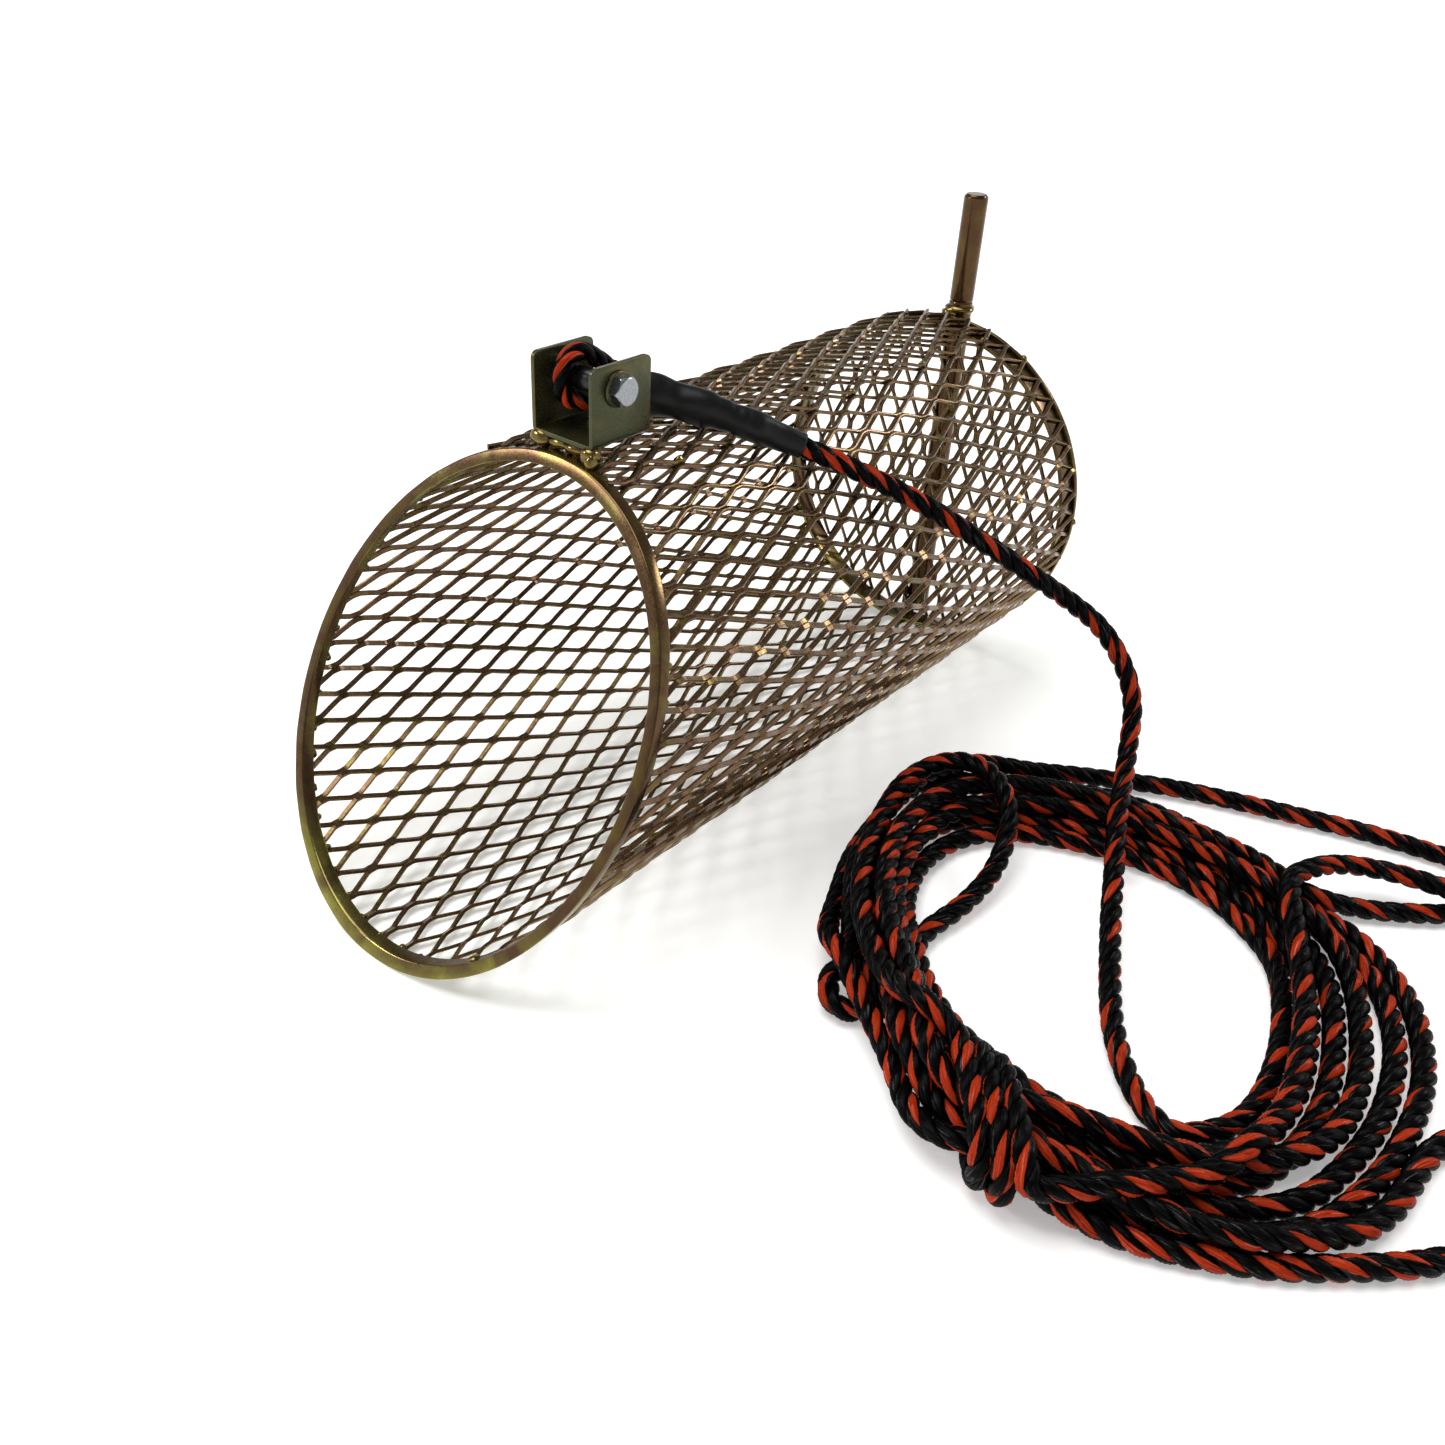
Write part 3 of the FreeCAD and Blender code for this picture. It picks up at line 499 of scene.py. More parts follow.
def settle(points, held, rounds=160):
    """Lets the rope of the coil settle: half-diameter steps of it are smoothed, drawn back to where they were
    laid, pushed apart where they would pass through each other, and kept on the floor. Held steps stay."""
    reach, gap = ROPE / 2, ROPE * 1.02
    run = np.r_[0, np.cumsum(np.linalg.norm(np.diff(points, axis=0), axis=1))]
    steps = np.linspace(0, run[-1], int(run[-1] / reach) + 1)
    laid = np.stack([np.interp(steps, run, points[:, axis]) for axis in range(3)], 1)
    free = (np.interp(steps, run, held.astype(float)) < 0.99).astype(float)
    rope, index = laid.copy(), np.arange(len(laid))
    for turn in range(rounds):
        if turn % 10 == 0:
            apart = ((rope[:, None] - rope[None]) ** 2).sum(-1)
            one, two = np.where((index[None] - index[:, None] > 4) & (apart < (gap + 7) ** 2))
        bend = np.zeros_like(rope)
        bend[1:-1] = (rope[:-2] + rope[2:]) / 2 - rope[1:-1]
        rope += free[:, None] * (bend * 0.2 + (laid - rope) * 0.01)
        for _ in range(3):
            between = rope[two] - rope[one]
            far = np.linalg.norm(between, axis=1)
            near = far < gap
            i, j = one[near], two[near]
            push = between[near] / np.maximum(far[near], 1e-6)[:, None] * ((gap - far[near]) * 0.5)[:, None]
            share = np.maximum(free[i] + free[j], 1e-9)[:, None]
            moved = np.zeros_like(rope)
            np.add.at(moved, i, -push * 2 * free[i][:, None] / share)
            np.add.at(moved, j, push * 2 * free[j][:, None] / share)
            touching = np.bincount(i, minlength=len(rope)) + np.bincount(j, minlength=len(rope))
            rope += moved / np.maximum(touching, 1)[:, None] * 1.3
            rope[:, 2] = np.maximum(rope[:, 2], ROPE / 2)
    return rope, steps, run


def spline_points():
    """The spline's control points: the held ones as they are, and the settled coil's between them."""
    points, held = whole_route()
    rope, steps, run = settle(points, held)
    chosen, last = [], -1e9
    near_held = np.interp(steps, run, held.astype(float)) > 0.01
    marks = [(run[i], points[i]) for i in np.flatnonzero(held)]
    marks += [(s, p) for s, p, skip in zip(steps, rope, near_held) if not skip]
    for where, point in sorted(marks, key=lambda mark: mark[0]):
        is_held = bool(held[np.argmin(np.abs(run - where))] and np.abs(run - where).min() < 1e-6)
        if is_held or where - last > CONTROL_SPACING:
            chosen.append(point)
            last = where
    return np.array(chosen)


def nurbs_line(points, spacing):
    """The smooth line of a NURBS spline through control points in millimetres, evenly spaced."""
    data = bpy.data.curves.new("route", "CURVE")
    data.dimensions = "3D"
    spline = data.splines.new("NURBS")
    spline.points.add(len(points) - 1)
    whole = np.c_[np.asarray(points, float) * 0.001, np.ones(len(points))]
    spline.points.foreach_set("co", whole.ravel())
    spline.order_u = 3
    spline.use_endpoint_u = True
    spline.resolution_u = 16
    carrier = new_object("route", data)
    line_mesh = bpy.data.meshes.new_from_object(carrier)
    line = np.zeros(len(line_mesh.vertices) * 3)
    line_mesh.vertices.foreach_get("co", line)
    line = line.reshape(-1, 3) * 1000
    bpy.data.objects.remove(carrier)
    bpy.data.curves.remove(data)
    bpy.data.meshes.remove(line_mesh)
    run = np.r_[0, np.cumsum(np.linalg.norm(np.diff(line, axis=0), axis=1))]
    even = np.linspace(0, run[-1], int(run[-1] / spacing) + 1)
    return np.stack([np.interp(even, run, line[:, axis]) for axis in range(3)], 1), even


def frames_along(line):
    """A pair of side directions, carried along the line without twist."""
    tangents = unit(np.gradient(line, axis=0))
    side = unit(np.cross(tangents[0], (0.3, 0.1, 1.0)))
    sides = np.zeros_like(line)
    for index, tangent in enumerate(tangents):
        side = side - tangent * (side @ tangent)
        side = side / np.linalg.norm(side)
        sides[index] = side
    return sides, np.cross(tangents, sides)


LAY = 24.0               # one full turn of a strand round the rope
STRAND_OUT = 2.3         # strand's middle from the rope's
STRAND_DEEP = 2.4        # half thickness of a strand, outwards
STRAND_WIDE = 3.0        # half width of a strand, round the rope
TRACERS = (0.0, 0.14, 0.46)  # turns round its strand at which each tracer yarn starts


def strands(line, even, sides=12, tip=False, girth=1.0):
    """Three strands laid round a line. A strand's section is an ellipse in the rope's cross plane whose middle
    circles the line once per LAY. u is the direction round the strand that doesn't turn with the lay. A tip is
    rounded off."""
    side, over = frames_along(line)
    drift = even / 1000 * 5.0 + 0.12 * np.sin(even / 83.0) + 0.07 * np.sin(even / 31.0 + 1.0)
    tubes, maps = [], []
    shrink = np.ones(len(line)) * girth
    if tip:
        shrink = np.sqrt(np.clip((even[-1] - even) / 5.0, 0.02, 1))
    around = np.arange(sides + 1) / sides * TAU
    for index in range(3):
        turn = even / LAY * TAU + index * TAU / 3
        plump = 1 + 0.04 * np.sin(even / 7.7 + index * 2.0)
        out_dir = np.cos(turn)[:, None] * side + np.sin(turn)[:, None] * over
        round_dir = -np.sin(turn)[:, None] * side + np.cos(turn)[:, None] * over
        radial = STRAND_DEEP * (plump * shrink)[:, None] * np.cos(around)[None] + (STRAND_OUT * shrink)[:, None]
        lateral = STRAND_WIDE * (plump * shrink)[:, None] * np.sin(around)[None]
        grid = line[:, None] + radial[..., None] * out_dir[:, None] + lateral[..., None] * round_dir[:, None]
        tubes.append(grid[:, :-1])
        u = (turn[:, None] + around[None]) / TAU + (drift - TRACERS[index])[:, None]
        v = np.repeat(even[:, None] * 0.001, sides + 1, axis=1)
        maps.append(np.stack([u, v], -1))
    return tubes, maps


rope_line, rope_run = nurbs_line(spline_points(), 1.6)
pieces_of_rope = []
cuts = [0, len(rope_line) // 3, 2 * len(rope_line) // 3, len(rope_line) - 1]
rope_tubes, rope_maps = strands(rope_line, rope_run, tip=True)
for index, name in enumerate(["tow_rope_lead", "tow_rope_coil", "tow_rope_end"]):
    first, last = cuts[index], cuts[index + 1] + 1
    piece = make_piece(name, [t[first:last] for t in rope_tubes], uvs=[m[first:last] for m in rope_maps])
    piece.data.materials.append(rope_black)
    pieces_of_rope.append((piece, metres(rope_line[first:last])))

rope_nodes = [("rope_lead", "rope_coil"), ("rope_outer_turn",), ("rope_side_turn", "rope_end")]
for index, (piece, path) in enumerate(pieces_of_rope):
    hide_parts(*rope_nodes[index])
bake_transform(pieces_of_rope[0][0])
for piece, path in pieces_of_rope[1:]:
    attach(piece, "root")


# ---- expanded metal ----
PANEL = 4.0              # degrees from one column of knots to the next
KNOT_ANGLE = -1.2        # column 0, from the top towards +X
KNOT_Y = -11.4           # a knot of column 0
LONG_PITCH = 30.4        # knot to knot along the tube
HALF_PITCH = LONG_PITCH / 2
STRAND_WIDTH = 2.3
STRAND_THICK = 1.5
STRAND_BREAK = 0.3       # bevel of a strand's edges
STRAND_TILT = np.radians(30)
KNOT_HALF = 2.3          # a knot's straight stretch, to each side of its middle
RINGS_IN_WAVE = np.array([0.0, 1.7, 3.1, 7.6, 12.1, 13.5])


def tube_point(angle, radius, y):
    """A point on the tube: angle in degrees from the top towards +X."""
    turn = np.radians(angle)
    return np.stack(np.broadcast_arrays(radius * np.sin(turn), y, AXIS_HEIGHT + radius * np.cos(turn)), -1)


def mouth_y(angle, radius):
    """Where the leaning mouth plane cuts the tube, along the tube."""
    return MOUTH_LEAN * radius * np.cos(np.radians(angle))


def soft_step(x, k=0.8):
    """Zero below -k, x above k, and a parabola between, so a bend keeps a small radius."""
    return np.where(x < -k, 0.0, np.where(x > k, x, (x + k) ** 2 / (4 * k)))


def swing(s):
    """0 at a knot of the ribbon's own column, 1 at a knot of the next one, s millimetres along the tube."""
    s = np.mod(s, LONG_PITCH)
    s = np.minimum(s, LONG_PITCH - s)
    return (soft_step(s - KNOT_HALF) - soft_step(s - HALF_PITCH + KNOT_HALF)) / (HALF_PITCH - 2 * KNOT_HALF)


def strand_section():
    """Eight corners of a flat strand with bevelled edges: half width and half thickness, both signs."""
    w, t, b = STRAND_WIDTH / 2, STRAND_THICK / 2, STRAND_BREAK
    upper = [(w, t - b), (w - b, t), (b - w, t), (-w, t - b)]
    lower = [(-w, b - t), (b - w, -t), (w - b, -t), (w, b - t)]
    return np.array(upper + lower)


def sweep_flat(centre, outward, tilt, section):
    """A section carried along a line. Its width lies square to the line and leans by tilt from the sheet."""
    tangent = unit(np.gradient(centre, axis=0))
    across = unit(np.cross(tangent, outward))
    lift = np.cross(across, tangent)
    wide = across * np.cos(tilt) + lift * np.sin(tilt)
    deep = lift * np.cos(tilt) - across * np.sin(tilt)
    return centre[:, None] + section[None, :, :1] * wide[:, None] + section[None, :, 1:] * deep[:, None]


def lattice(low, high, phase):
    """Ring places between low and high: the knots and bends of the wave, and the two ends."""
    first = int((low - phase) // HALF_PITCH) - 1
    last = int((high - phase) // HALF_PITCH) + 2
    places = (np.arange(first, last)[:, None] * HALF_PITCH + phase + RINGS_IN_WAVE).ravel()
    return np.concatenate([[low], places[(places > low + 0.5) & (places < high - 0.5)], [high]])


def tube_ribbon(column, radius, seed, end=BASKET_LENGTH - 0.6):
    """One ribbon of the tube's sheet. It snakes between its own column of knots and the next one, and shares
    a knot with its neighbour at each crest. At its own column it sits outwards and at the next one inwards, as
    sheet that was slit and pulled open does."""
    phase = KNOT_Y + (column % 2) * HALF_PITCH
    angle = KNOT_ANGLE + PANEL * column
    start = mouth_y(angle + PANEL / 2, radius) + 3.2
    y = lattice(start, end, phase)
    wave = swing(y - phase)
    side = (1 - 2 * wave) * STRAND_WIDTH / 2
    rng = np.random.default_rng(seed + column)
    across = side * np.cos(STRAND_TILT) + rng.normal(0, 0.04, len(y))
    turn = angle + PANEL * wave + np.degrees(across / radius)
    out = radius + side * np.sin(STRAND_TILT) + smooth_noise(tube_point(turn, radius, y), 90.0, 5) * 0.25
    centre = tube_point(turn, out, y)
    outward = tube_point(turn, 1.0, 0.0 * y) - (0, 0, AXIS_HEIGHT)
    return sweep_flat(centre, outward, STRAND_TILT, strand_section())


def cap_ribbon(column):
    """The same ribbon, flat and upright, in the end cap's disc."""
    phase = AXIS_HEIGHT + (column % 2) * HALF_PITCH
    pitch, reach, shortest = 6.45, 89.6, 6.0
    half = np.sqrt(max(reach ** 2 - ((column + 0.5) * pitch) ** 2, shortest ** 2))
    z = lattice(AXIS_HEIGHT - half, AXIS_HEIGHT + half, phase)
    wave = swing(z - phase)
    side = (1 - 2 * wave) * STRAND_WIDTH / 2
    x = (column + wave) * pitch + side * np.cos(STRAND_TILT)
    centre = np.stack([x, BASKET_LENGTH + 1.1 - side * np.sin(STRAND_TILT), z], -1)
    outward = np.tile((0.0, -1.0, 0.0), (len(z), 1))
    return sweep_flat(centre, outward, STRAND_TILT, strand_section())


def make_basket():
    """The rolled sheet in two halves, its lapped layer over the top, and the end's disc."""
    right = [tube_ribbon(column, SHEET_RADIUS, 10) for column in range(0, 45)]
    add_piece("tube_mesh_right", right, ("mesh_body",), strand_zinc, smooth=False)
    left = [tube_ribbon(column, SHEET_RADIUS, 10) for column in range(45, 90)]
    add_piece("tube_mesh_left", left, (), strand_zinc, smooth=False)
    layer = [tube_ribbon(column, LAP_RADIUS, 400, BASKET_LENGTH - 3.0) for column in range(-6, 5)]
    add_piece("lapped_mesh", layer, ("mesh_lap",), strand_zinc, smooth=False)
    disc = [cap_ribbon(column) for column in range(-14, 14)]
    add_piece("end_mesh", disc, ("end_cap_mesh",), strand_zinc, smooth=False)


make_basket()


# ---- hoops, rod and bracket ----
def soft_box(width, height, corners, steps=4):
    """A rectangle's outline with one rounding per corner, from the +,+ corner round by +,-."""
    points = []
    signs = [(1, 1), (1, -1), (-1, -1), (-1, 1)]
    for (sx, sy), radius, quarter in zip(signs, corners, (90, 0, -90, -180)):
        turn = np.radians(quarter - np.linspace(0, 90, steps + 1))
        x = sx * (width / 2 - radius) + radius * np.cos(turn)
        y = sy * (height / 2 - radius) + radius * np.sin(turn)
        points.append(np.stack([x, y], -1))
    return np.concatenate(points)


def hoop(radius, y_middle, section, lean, wobble, seed):
    """A closed hoop. The section's first number is added to the radius and its second to y. lean tips it."""
    angle = np.arange(HOOP_STEPS) * 360 / HOOP_STEPS
    r = radius + section[None, :, 0]
    y = y_middle + section[None, :, 1] + lean * r * np.cos(np.radians(angle))[:, None]
    grid = tube_point(angle[:, None], r, y)
    push = smooth_noise(grid, 14.0, seed) * wobble
    away = unit(grid - grid.mean(1, keepdims=True))
    return grid + away * push[..., None]


def lathe(profile, centre, axis, sides=48, closed=False, radius_of=None):
    """A profile of (along, radius) turned round an axis through centre. radius_of limits it to a hexagon."""
    axis = np.array(axis, float)
    side = unit(np.cross(axis, (0.0, 0.0, 1.0) if abs(axis[2]) < 0.9 else (1.0, 0.0, 0.0)))
    over = np.cross(axis, side)
    turn = np.arange(sides) / sides * TAU
    ring = np.cos(turn)[:, None] * side + np.sin(turn)[:, None] * over
    profile = np.array(profile, float)
    r = np.repeat(profile[:, 1:], sides, axis=1)
    if radius_of is not None:
        r = np.minimum(r, radius_of(turn)[None])
    grid = np.array(centre, float) + profile[:, None, :1] * axis + r[..., None] * ring
    return grid.transpose(1, 0, 2) if closed else grid


def hexagon_radius(flats):
    return lambda turn: flats / 2 / np.cos(np.mod(turn, TAU / 6) - TAU / 12)


def blob(centre, half, seed, lump=0.16, steps=9, sides=12):
    """A weld bead: an ellipsoid pushed in and out by smooth noise. half is its half size along x, y and z."""
    polar = np.linspace(0.1, np.pi - 0.1, steps)[:, None]
    turn = np.arange(sides)[None] / sides * TAU
    x, y, z = np.sin(polar) * np.cos(turn), np.sin(polar) * np.sin(turn), np.cos(polar)
    shape = np.stack(np.broadcast_arrays(x, y, z), -1)
    grow = 1 + lump * smooth_noise(shape * 10 + seed * 37.0, 13.0, seed)
    return np.array(centre) + shape * grow[..., None] * np.array(half)


def make_hoops():
    """The leaning mouth hoop, and the rear hoop with the rim that closes the sheet's cut ends."""
    # outer corners: the front one stays crisp, the back one is rounded by the rolls
    bar = soft_box(HOOP_BAR, HOOP_WIDTH, (1.1, 0.5, 0.8, 0.8))
    ring = hoop(HOOP_RADIUS, HOOP_WIDTH / 2, bar, MOUTH_LEAN, 0.07, 21)
    add_piece("mouth_hoop", [ring], ("mouth_ring",), bar_zinc, closed_long=True)
    flat = soft_box(BAND_BAR, BAND_WIDTH, (0.35,) * 4)
    band = hoop(BAND_RADIUS, BASKET_LENGTH - BAND_WIDTH / 2, flat, 0.0, 0.05, 22)
    # the sheet's cut ends are burnt down into a thin rim that closes the edge
    rim = hoop(SHEET_RADIUS, BASKET_LENGTH + 0.2, soft_box(2.2, 2.6, (0.7,) * 4), 0.0, 0.12, 23)
    add_piece("rear_hoop", [band, rim], ("rear_band",), bar_zinc, closed_long=True)


def weld_beads():
    """Beads behind the mouth hoop, at the rear hoop, along the lap, round the end mesh and at the rod."""
    rng = np.random.default_rng(3)
    mouth = []
    for step in range(45):
        angle = KNOT_ANGLE + 8.0 * step + rng.normal(0, 0.5)
        place = tube_point(angle, 90.3, mouth_y(angle, 90.3) + 6.9 + rng.normal(0, 0.4))
        mouth.append(blob(place, rng.uniform(1.4, 2.2, 3), step + 1))
    add_piece("mouth_beads", mouth, ("mouth_welds",), weld_zinc)
    rear = [blob(tube_point(KNOT_ANGLE + PANEL * column, 89.8, 340.6), rng.uniform(1.3, 2.1, 3), column)
            for column in range(1, 90, 6)]
    add_piece("rear_beads", rear, ("rear_welds",), weld_zinc)
    lap = [blob(tube_point(18.2, LAP_RADIUS, 3.8 + step * LONG_PITCH), (1.7, 2.6, 1.5), step)
           for step in (3, 5, 7, 9, 11)]
    add_piece("lap_beads", lap, ("lap_welds",), weld_zinc)
    cap = [blob(tube_point(angle, 90.8, 354.5), (2.4, 1.7, 2.0), angle) for angle in range(30, 360, 60)]
    add_piece("end_mesh_beads", cap, ("cap_welds",), weld_zinc)
    butt = blob(tube_point(146.8, 88.8, mouth_y(146.8, 88.8) + 3.0), (2.6, 2.9, 2.2), 77)
    add_piece("hoop_butt_bead", [butt], ("mouth_ring_joint",), weld_zinc)
    rod = [blob((0.0, ROD_Y, 187.9), (8.4, 8.2, 3.0), 8, 0.07, 12, 24),
           blob((-3.0, 355.6, 186.0), (4.6, 3.4, 2.6), 9)]
    for z in (174.4, 11.6):
        for side in (-1, 1):
            for shift in (-4, -1, 2, 5):
                rod.append(blob((side * 5.9, 356.6, z + shift), (1.8, 1.7, 2.6), int(z) + shift + 40))
    add_piece("rod_beads", rod, ("rod_welds",), weld_zinc)
    lumps = [((-13.0, 60.2, 188.6), (5.2, 3.4, 3.2)), ((-4.0, 61.2, 188.5), (6.0, 3.0, 2.4)),
             ((5.5, 61.0, 188.5), (5.6, 3.0, 2.4)), ((14.0, 60.0, 188.2), (4.2, 3.8, 3.6)),
             ((16.2, 58.4, 186.4), (2.6, 2.8, 3.6)), ((-15.6, 66.0, 188.6), (2.6, 5.0, 2.6))]
    beads = [blob(place, half, index + 60, 0.1, 14, 24) for index, (place, half) in enumerate(lumps)]
    add_piece("bracket_beads", beads, ("bracket_welds",), weld_zinc)


def make_rod():
    """The end rod, by heights and radii: broken edges at both ends, and a narrow relief above the weld."""
    r = ROD_RADIUS
    profile = [(4.0, 4.6), (4.0, 5.0), (4.15, 5.25), (5.1, 6.25), (5.4, r), (6.0, r), (190.9, r),
               (191.4, 6.3), (191.6, 6.05), (192.2, 6.05), (192.4, 6.3), (193.0, r), (244.6, r),
               (245.1, 6.28), (246.2, 5.3), (246.4, 5.05), (246.4, 4.6)]
    rod = lathe(profile, (0, ROD_Y, 0), (0, 0, 1), 40)
    add_piece("end_rod", [rod], ("cross_rod",), rod_zinc)


def bracket_line():
    """The folded strip's middle line in x and z: down one ear, across the floor and up the other ear."""
    half, bend, top, floor = BRACKET_HALF - PLATE / 2, 1.65, BRACKET_TOP, BRACKET_FLOOR + PLATE / 2
    turn = np.radians(np.linspace(180, 270, 7))
    left = np.stack([np.cos(turn) * bend - half + bend, np.sin(turn) * bend + floor + bend], -1)
    rise = top - floor - bend
    down = top - rise * np.array([0, 0.004, 0.012, 0.025, 0.045, 0.07, 0.1, 0.3, 0.6, 0.9])
    ear = np.stack([np.full(len(down), -half), down], -1)
    run = np.concatenate([ear, left, [(-half / 2, floor), (0.0, floor)]])
    return np.concatenate([run, (run * (-1, 1))[::-1][1:]])


def make_bracket():
    """The folded bracket: a thin section carried along the strip. Near the ears' tops it narrows along a
    quarter circle, which rounds their corners."""
    line = bracket_line()
    tangent = unit(np.gradient(line, axis=0))
    normal = np.stack([-tangent[:, 1], tangent[:, 0]], -1)
    to_top = BRACKET_TOP - line[:, 1]
    corner = 3.0
    arc = np.sqrt(np.maximum(corner ** 2 - (corner - to_top) ** 2, 0.0))
    trim = np.where(to_top < corner, corner - arc, 0.0)
    section = soft_box(PLATE, 2.0, (0.28,) * 4, 3)
    deep = np.sign(section[:, 1])
    edge = section[:, 1] - deep
    y = BRACKET_Y + deep[None] * (BRACKET_HALF - trim[:, None]) + edge[None]
    xz = line[:, None] + section[None, :, :1] * normal[:, None]
    grid = np.stack([xz[..., 0], y, xz[..., 1]], -1)
    add_piece("tow_plate", [grid], ("tow_bracket",), plate_zinc)


def make_bolt():
    """Bolt, nut, washers and roller, all turned round the bolt's axis. The thread is a ridge that climbs one
    pitch a turn, and cones cut the corners of the nut and the head."""
    centre = BOLT_CENTRE
    six = hexagon_radius(BOLT_FLATS)
    dome = [(4.4, 1.0), (4.4, 4.9), (4.36, 5.2), (4.15, 5.5), (3.8, 5.85), (3.3, 6.2), (2.6, 6.6), (0.25, 6.6),
            (0.08, 6.25), (0.0, 6.1), (0.0, 3.0)]
    head = lathe([(BOLT_SEAT + a, r) for a, r in dome[::-1]], centre, (1, 0, 0), 72, radius_of=six)
    along = np.arange(-27.0, 18.1, 0.25)
    turn = np.arange(24) / 24
    ridge = np.abs(np.mod(along[:, None] / THREAD_PITCH + turn[None], 1) - 0.5) * 2
    threaded = np.clip((-14.0 - along) / 1.0, 0, 1)[:, None]
    radius = BOLT_RADIUS - threaded * 0.5 * ridge
    radius[0] = 2.3
    around = turn * TAU
    shank = np.stack(np.broadcast_arrays(along[:, None], centre[1] + radius * np.cos(around),
                                         centre[2] + radius * np.sin(around)), -1)
    add_piece("tow_bolt_head", [head], ("tow_bolt",), zinc_bolt, smooth=False)
    add_piece("tow_bolt_shank", [shank], (), zinc_bolt)
    faces = [(0.0, 3.2), (0.0, 5.3), (0.2, 5.7), (0.7, 6.2), (1.2, 6.6), (4.3, 6.6), (4.8, 6.2), (5.3, 5.7),
             (5.5, 5.3), (5.5, 3.2)]
    nut = lathe([(-BOLT_SEAT - a, r) for a, r in faces], centre, (1, 0, 0), 72, closed=True, radius_of=six)
    add_piece("tow_nut_turned", [nut], ("tow_nut",), zinc_bolt, closed_long=True, smooth=False)
    disc = [(16.4, 3.2), (16.4, 7.0), (16.6, 7.2), (17.4, 7.1), (17.7, 6.6), (17.9, 5.0), (17.9, 3.2)]
    washers = [lathe([(side * a, r) for a, r in disc], centre, (1, 0, 0), 48, closed=True)
               for side in (1, -1)]
    add_piece("tow_washer_right", washers[:1], (), plate_zinc, closed_long=True)
    add_piece("tow_washer_left", washers[1:], ("bolt_washers",), plate_zinc, closed_long=True)
    tube = [(-14.25, 3.3), (-14.25, 4.2), (-14.0, 4.5), (14.0, 4.5), (14.25, 4.2), (14.25, 3.3)]
    roller = lathe(tube, centre, (1, 0, 0), 48, closed=True)
    add_piece("roller_turned", [roller], ("roller_sleeve",), roller_black, closed_long=True,
              body="roller")


make_hoops()
weld_beads()
make_rod()
make_bracket()
make_bolt()


# ---- rope eye and its sleeve ----
# the sleeve's middle line from the roller to the single rope, with its half width and half height
SLEEVE = [
    ((-5.5, 90.0, 205.2), 5.9, 10.2), ((-2.5, 101.0, 200.2), 6.1, 9.4), ((5.0, 111.5, 197.4), 6.4, 8.3),
    ((15.5, 119.5, 194.8), 6.6, 7.5), ((27.0, 128.0, 190.8), 6.4, 6.7), ((38.0, 138.5, 185.2), 6.1, 6.1),
    ((48.8, 151.0, 178.0), 5.6, 5.6),
]


def through(points, count):
    """A smooth line through points, by Catmull-Rom cubics, with count samples."""
    points = np.array(points, float)
    padded = np.concatenate([[2 * points[0] - points[1]], points, [2 * points[-1] - points[-2]]])
    s = np.linspace(0, len(points) - 1 - 1e-9, count)
    base = s.astype(int)
    t = (s - base)[:, None]
    a, b, c, d = (padded[base + shift] for shift in range(4))
    square, cube = 2 * a - 5 * b + 4 * c - d, 3 * b - a - 3 * c + d
    return 0.5 * (2 * b + (c - a) * t + square * t ** 2 + cube * t ** 3)


def eye_route():
    """From inside the sleeve up one leg, round the roller and back down the other leg."""
    centre = np.array(BOLT_CENTRE) - (5.5, 0.0, 0.0)
    lean = np.radians(-24.5)
    back = np.array([0, np.cos(lean), np.sin(lean)])
    up = np.array([0, -np.sin(lean), np.cos(lean)])
    turn = np.radians(np.linspace(75, 285, 22))
    loop = 9.4 * (np.cos(turn)[:, None] * back + np.sin(turn)[:, None] * up) + 1.0 * back
    reach = np.array([(30.0, 4.8), (25.0, 4.9), (20.0, 5.3), (13.5, 7.2), (8.5, 8.6)])
    out = reach[:, :1] * back + reach[:, 1:] * up
    home = (reach[:, :1] * back - reach[:, 1:] * up)[::-1]
    return centre + through(np.concatenate([out, loop, home]), 160)


def make_eye():
    """The laid rope of the eye, drawn thinner where it is pulled tight round the roller."""
    line = eye_route()
    run = np.concatenate([[0], np.cumsum(np.linalg.norm(np.diff(line, axis=0), axis=1))])
    even = np.linspace(0, run[-1], 150)
    line = np.stack([np.interp(even, run, line[:, axis]) for axis in range(3)], 1)
    thin = ease(np.abs(even / even[-1] - 0.5) * 4 - 0.9) * 0.18 + 0.82
    tubes, maps = strands(line, even, girth=thin)
    piece = make_piece("rope_eye_laid", tubes, uvs=maps)
    finish_piece(piece, "tow_eye", ("rope_eye",), rope_black)


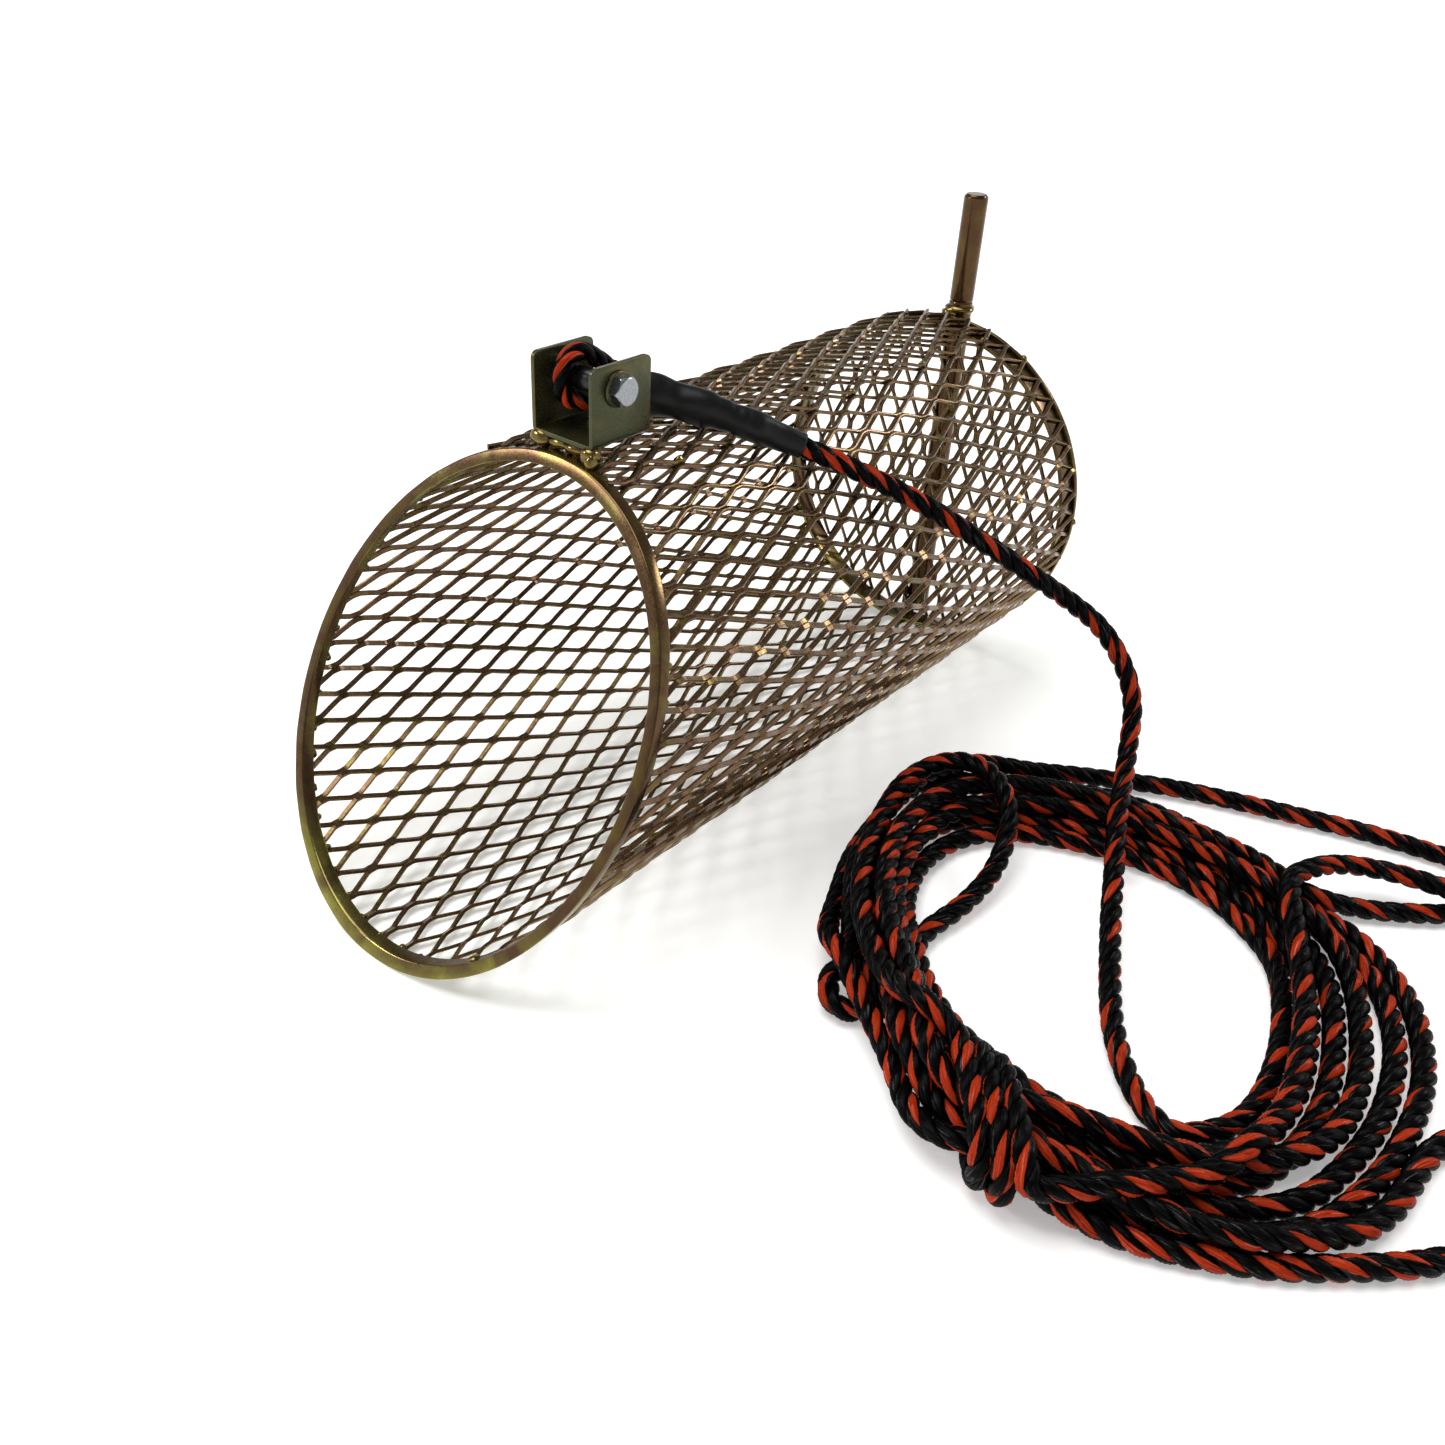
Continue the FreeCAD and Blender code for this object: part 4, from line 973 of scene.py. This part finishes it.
def make_sleeve():
    """The heat-shrink sleeve: ellipses along a curve. Shallow wrinkles run round it, deeper where it bends, and
    its ends turn in as thin lips."""
    count, sides = 110, 56
    middle = through([row[0] for row in SLEEVE], count)
    sizes = through([(row[1], row[2], 0) for row in SLEEVE], count)
    tangent = unit(np.gradient(middle, axis=0))
    side = unit(np.stack([tangent[:, 1], -tangent[:, 0], np.zeros(count)], -1))
    over = np.cross(side, tangent)
    turn = np.arange(sides) / sides * TAU
    along = np.linspace(0, 1, count)
    grid = np.zeros((count, sides, 3))
    for index in range(count):
        wide = np.cos(turn)[:, None] * side[index] * sizes[index, 0]
        high = np.sin(turn)[:, None] * over[index] * sizes[index, 1]
        grid[index] = middle[index] + wide + high
    away = unit(grid - middle[:, None])
    uneven = 0.5 + 0.5 * np.sin(turn * 2 + along[:, None] * 17)
    folds = np.sin(along * 62 + 2.2 * np.sin(along * 9))[:, None] * uneven
    bent = ease((along - 0.25) / 0.3)[:, None]
    waves = np.sin(along * 25 + 0.6)[:, None] * (0.6 + 0.4 * np.sin(turn + 1.0)) * ease(along * 5)[:, None]
    push = 0.7 * waves * ease((1 - along) * 8)[:, None] + 0.25 * folds * bent
    push = push + 0.4 * smooth_noise(grid, 11.0, 31)
    grid = grid + away * push[..., None]
    first = middle[0] + (grid[0] - middle[0]) * 0.82
    last = middle[-1] + (grid[-1] - middle[-1]) * 0.84
    grid = np.concatenate([[first + tangent[0] * 1.0], [first], grid, [last], [last - tangent[-1] * 1.0]])
    add_piece("eye_sleeve", [grid], ("heat_shrink",), shrink_black, body="tow_eye")


make_eye()
make_sleeve()


# ---- floor and light ----
def make_studio():
    """A pale floor that glows faintly, a wide sun overhead, and two small lamps, at the front left and behind.
    The world is a bright wall all round and a dim ceiling."""
    mesh = bpy.data.meshes.new("studio_floor")
    mesh.from_pydata([(-60, -60, 0), (60, -60, 0), (60, 60, 0), (-60, 60, 0)], [], [(0, 1, 2, 3)])
    floor = new_object("studio_floor", mesh)
    floor.location.z = -0.0002
    paint, _, shader = new_material("studio_floor_paint")
    shader.inputs["Base Color"].default_value = tone("#f4f4f2")
    shader.inputs["Roughness"].default_value = 0.9
    shader.inputs["Specular IOR Level"].default_value = 0.1
    shader.inputs["Emission Color"].default_value = (1, 1, 1, 1)
    shader.inputs["Emission Strength"].default_value = 0.3
    mesh.materials.append(paint)
    sun = bpy.data.lights.new("overhead", "SUN")
    sun.energy = 2.0
    sun.angle = 0.7
    high = new_object("overhead", sun)
    high.rotation_mode = "QUATERNION"
    high.rotation_quaternion = Vector((0.25, 0.15, -1.0)).to_track_quat("-Z", "Y")
    for name, place, size, power in [
        ("front_left", (-1.2, -1.1, 1.1), 0.35, 10),
        ("behind", (0.9, 1.6, 1.2), 0.4, 10),
    ]:
        data = bpy.data.lights.new(name, "AREA")
        data.size = size
        data.energy = power
        lamp = new_object(name, data)
        lamp.location = place
        lamp.rotation_mode = "QUATERNION"
        aim = Vector((0.12, 0.0, 0.08)) - Vector(place)
        lamp.rotation_quaternion = aim.to_track_quat("-Z", "Y")
    world = bpy.data.worlds.new("studio")
    world.use_nodes = True
    tree = world.node_tree
    toward = add(tree, "ShaderNodeTexCoord").outputs["Generated"]
    height = add(tree, "ShaderNodeSeparateXYZ", Vector=toward).outputs["Z"]
    glow = remap(tree, height, 1.05, 0.3, 0.2, 0.5)
    tree.links.new(glow, tree.nodes["Background"].inputs[1])
    tree.nodes["Background"].inputs[0].default_value = (1, 1, 1, 1)
    bpy.context.scene.world = world
    bpy.context.scene.view_settings.view_transform = "Standard"


make_studio()
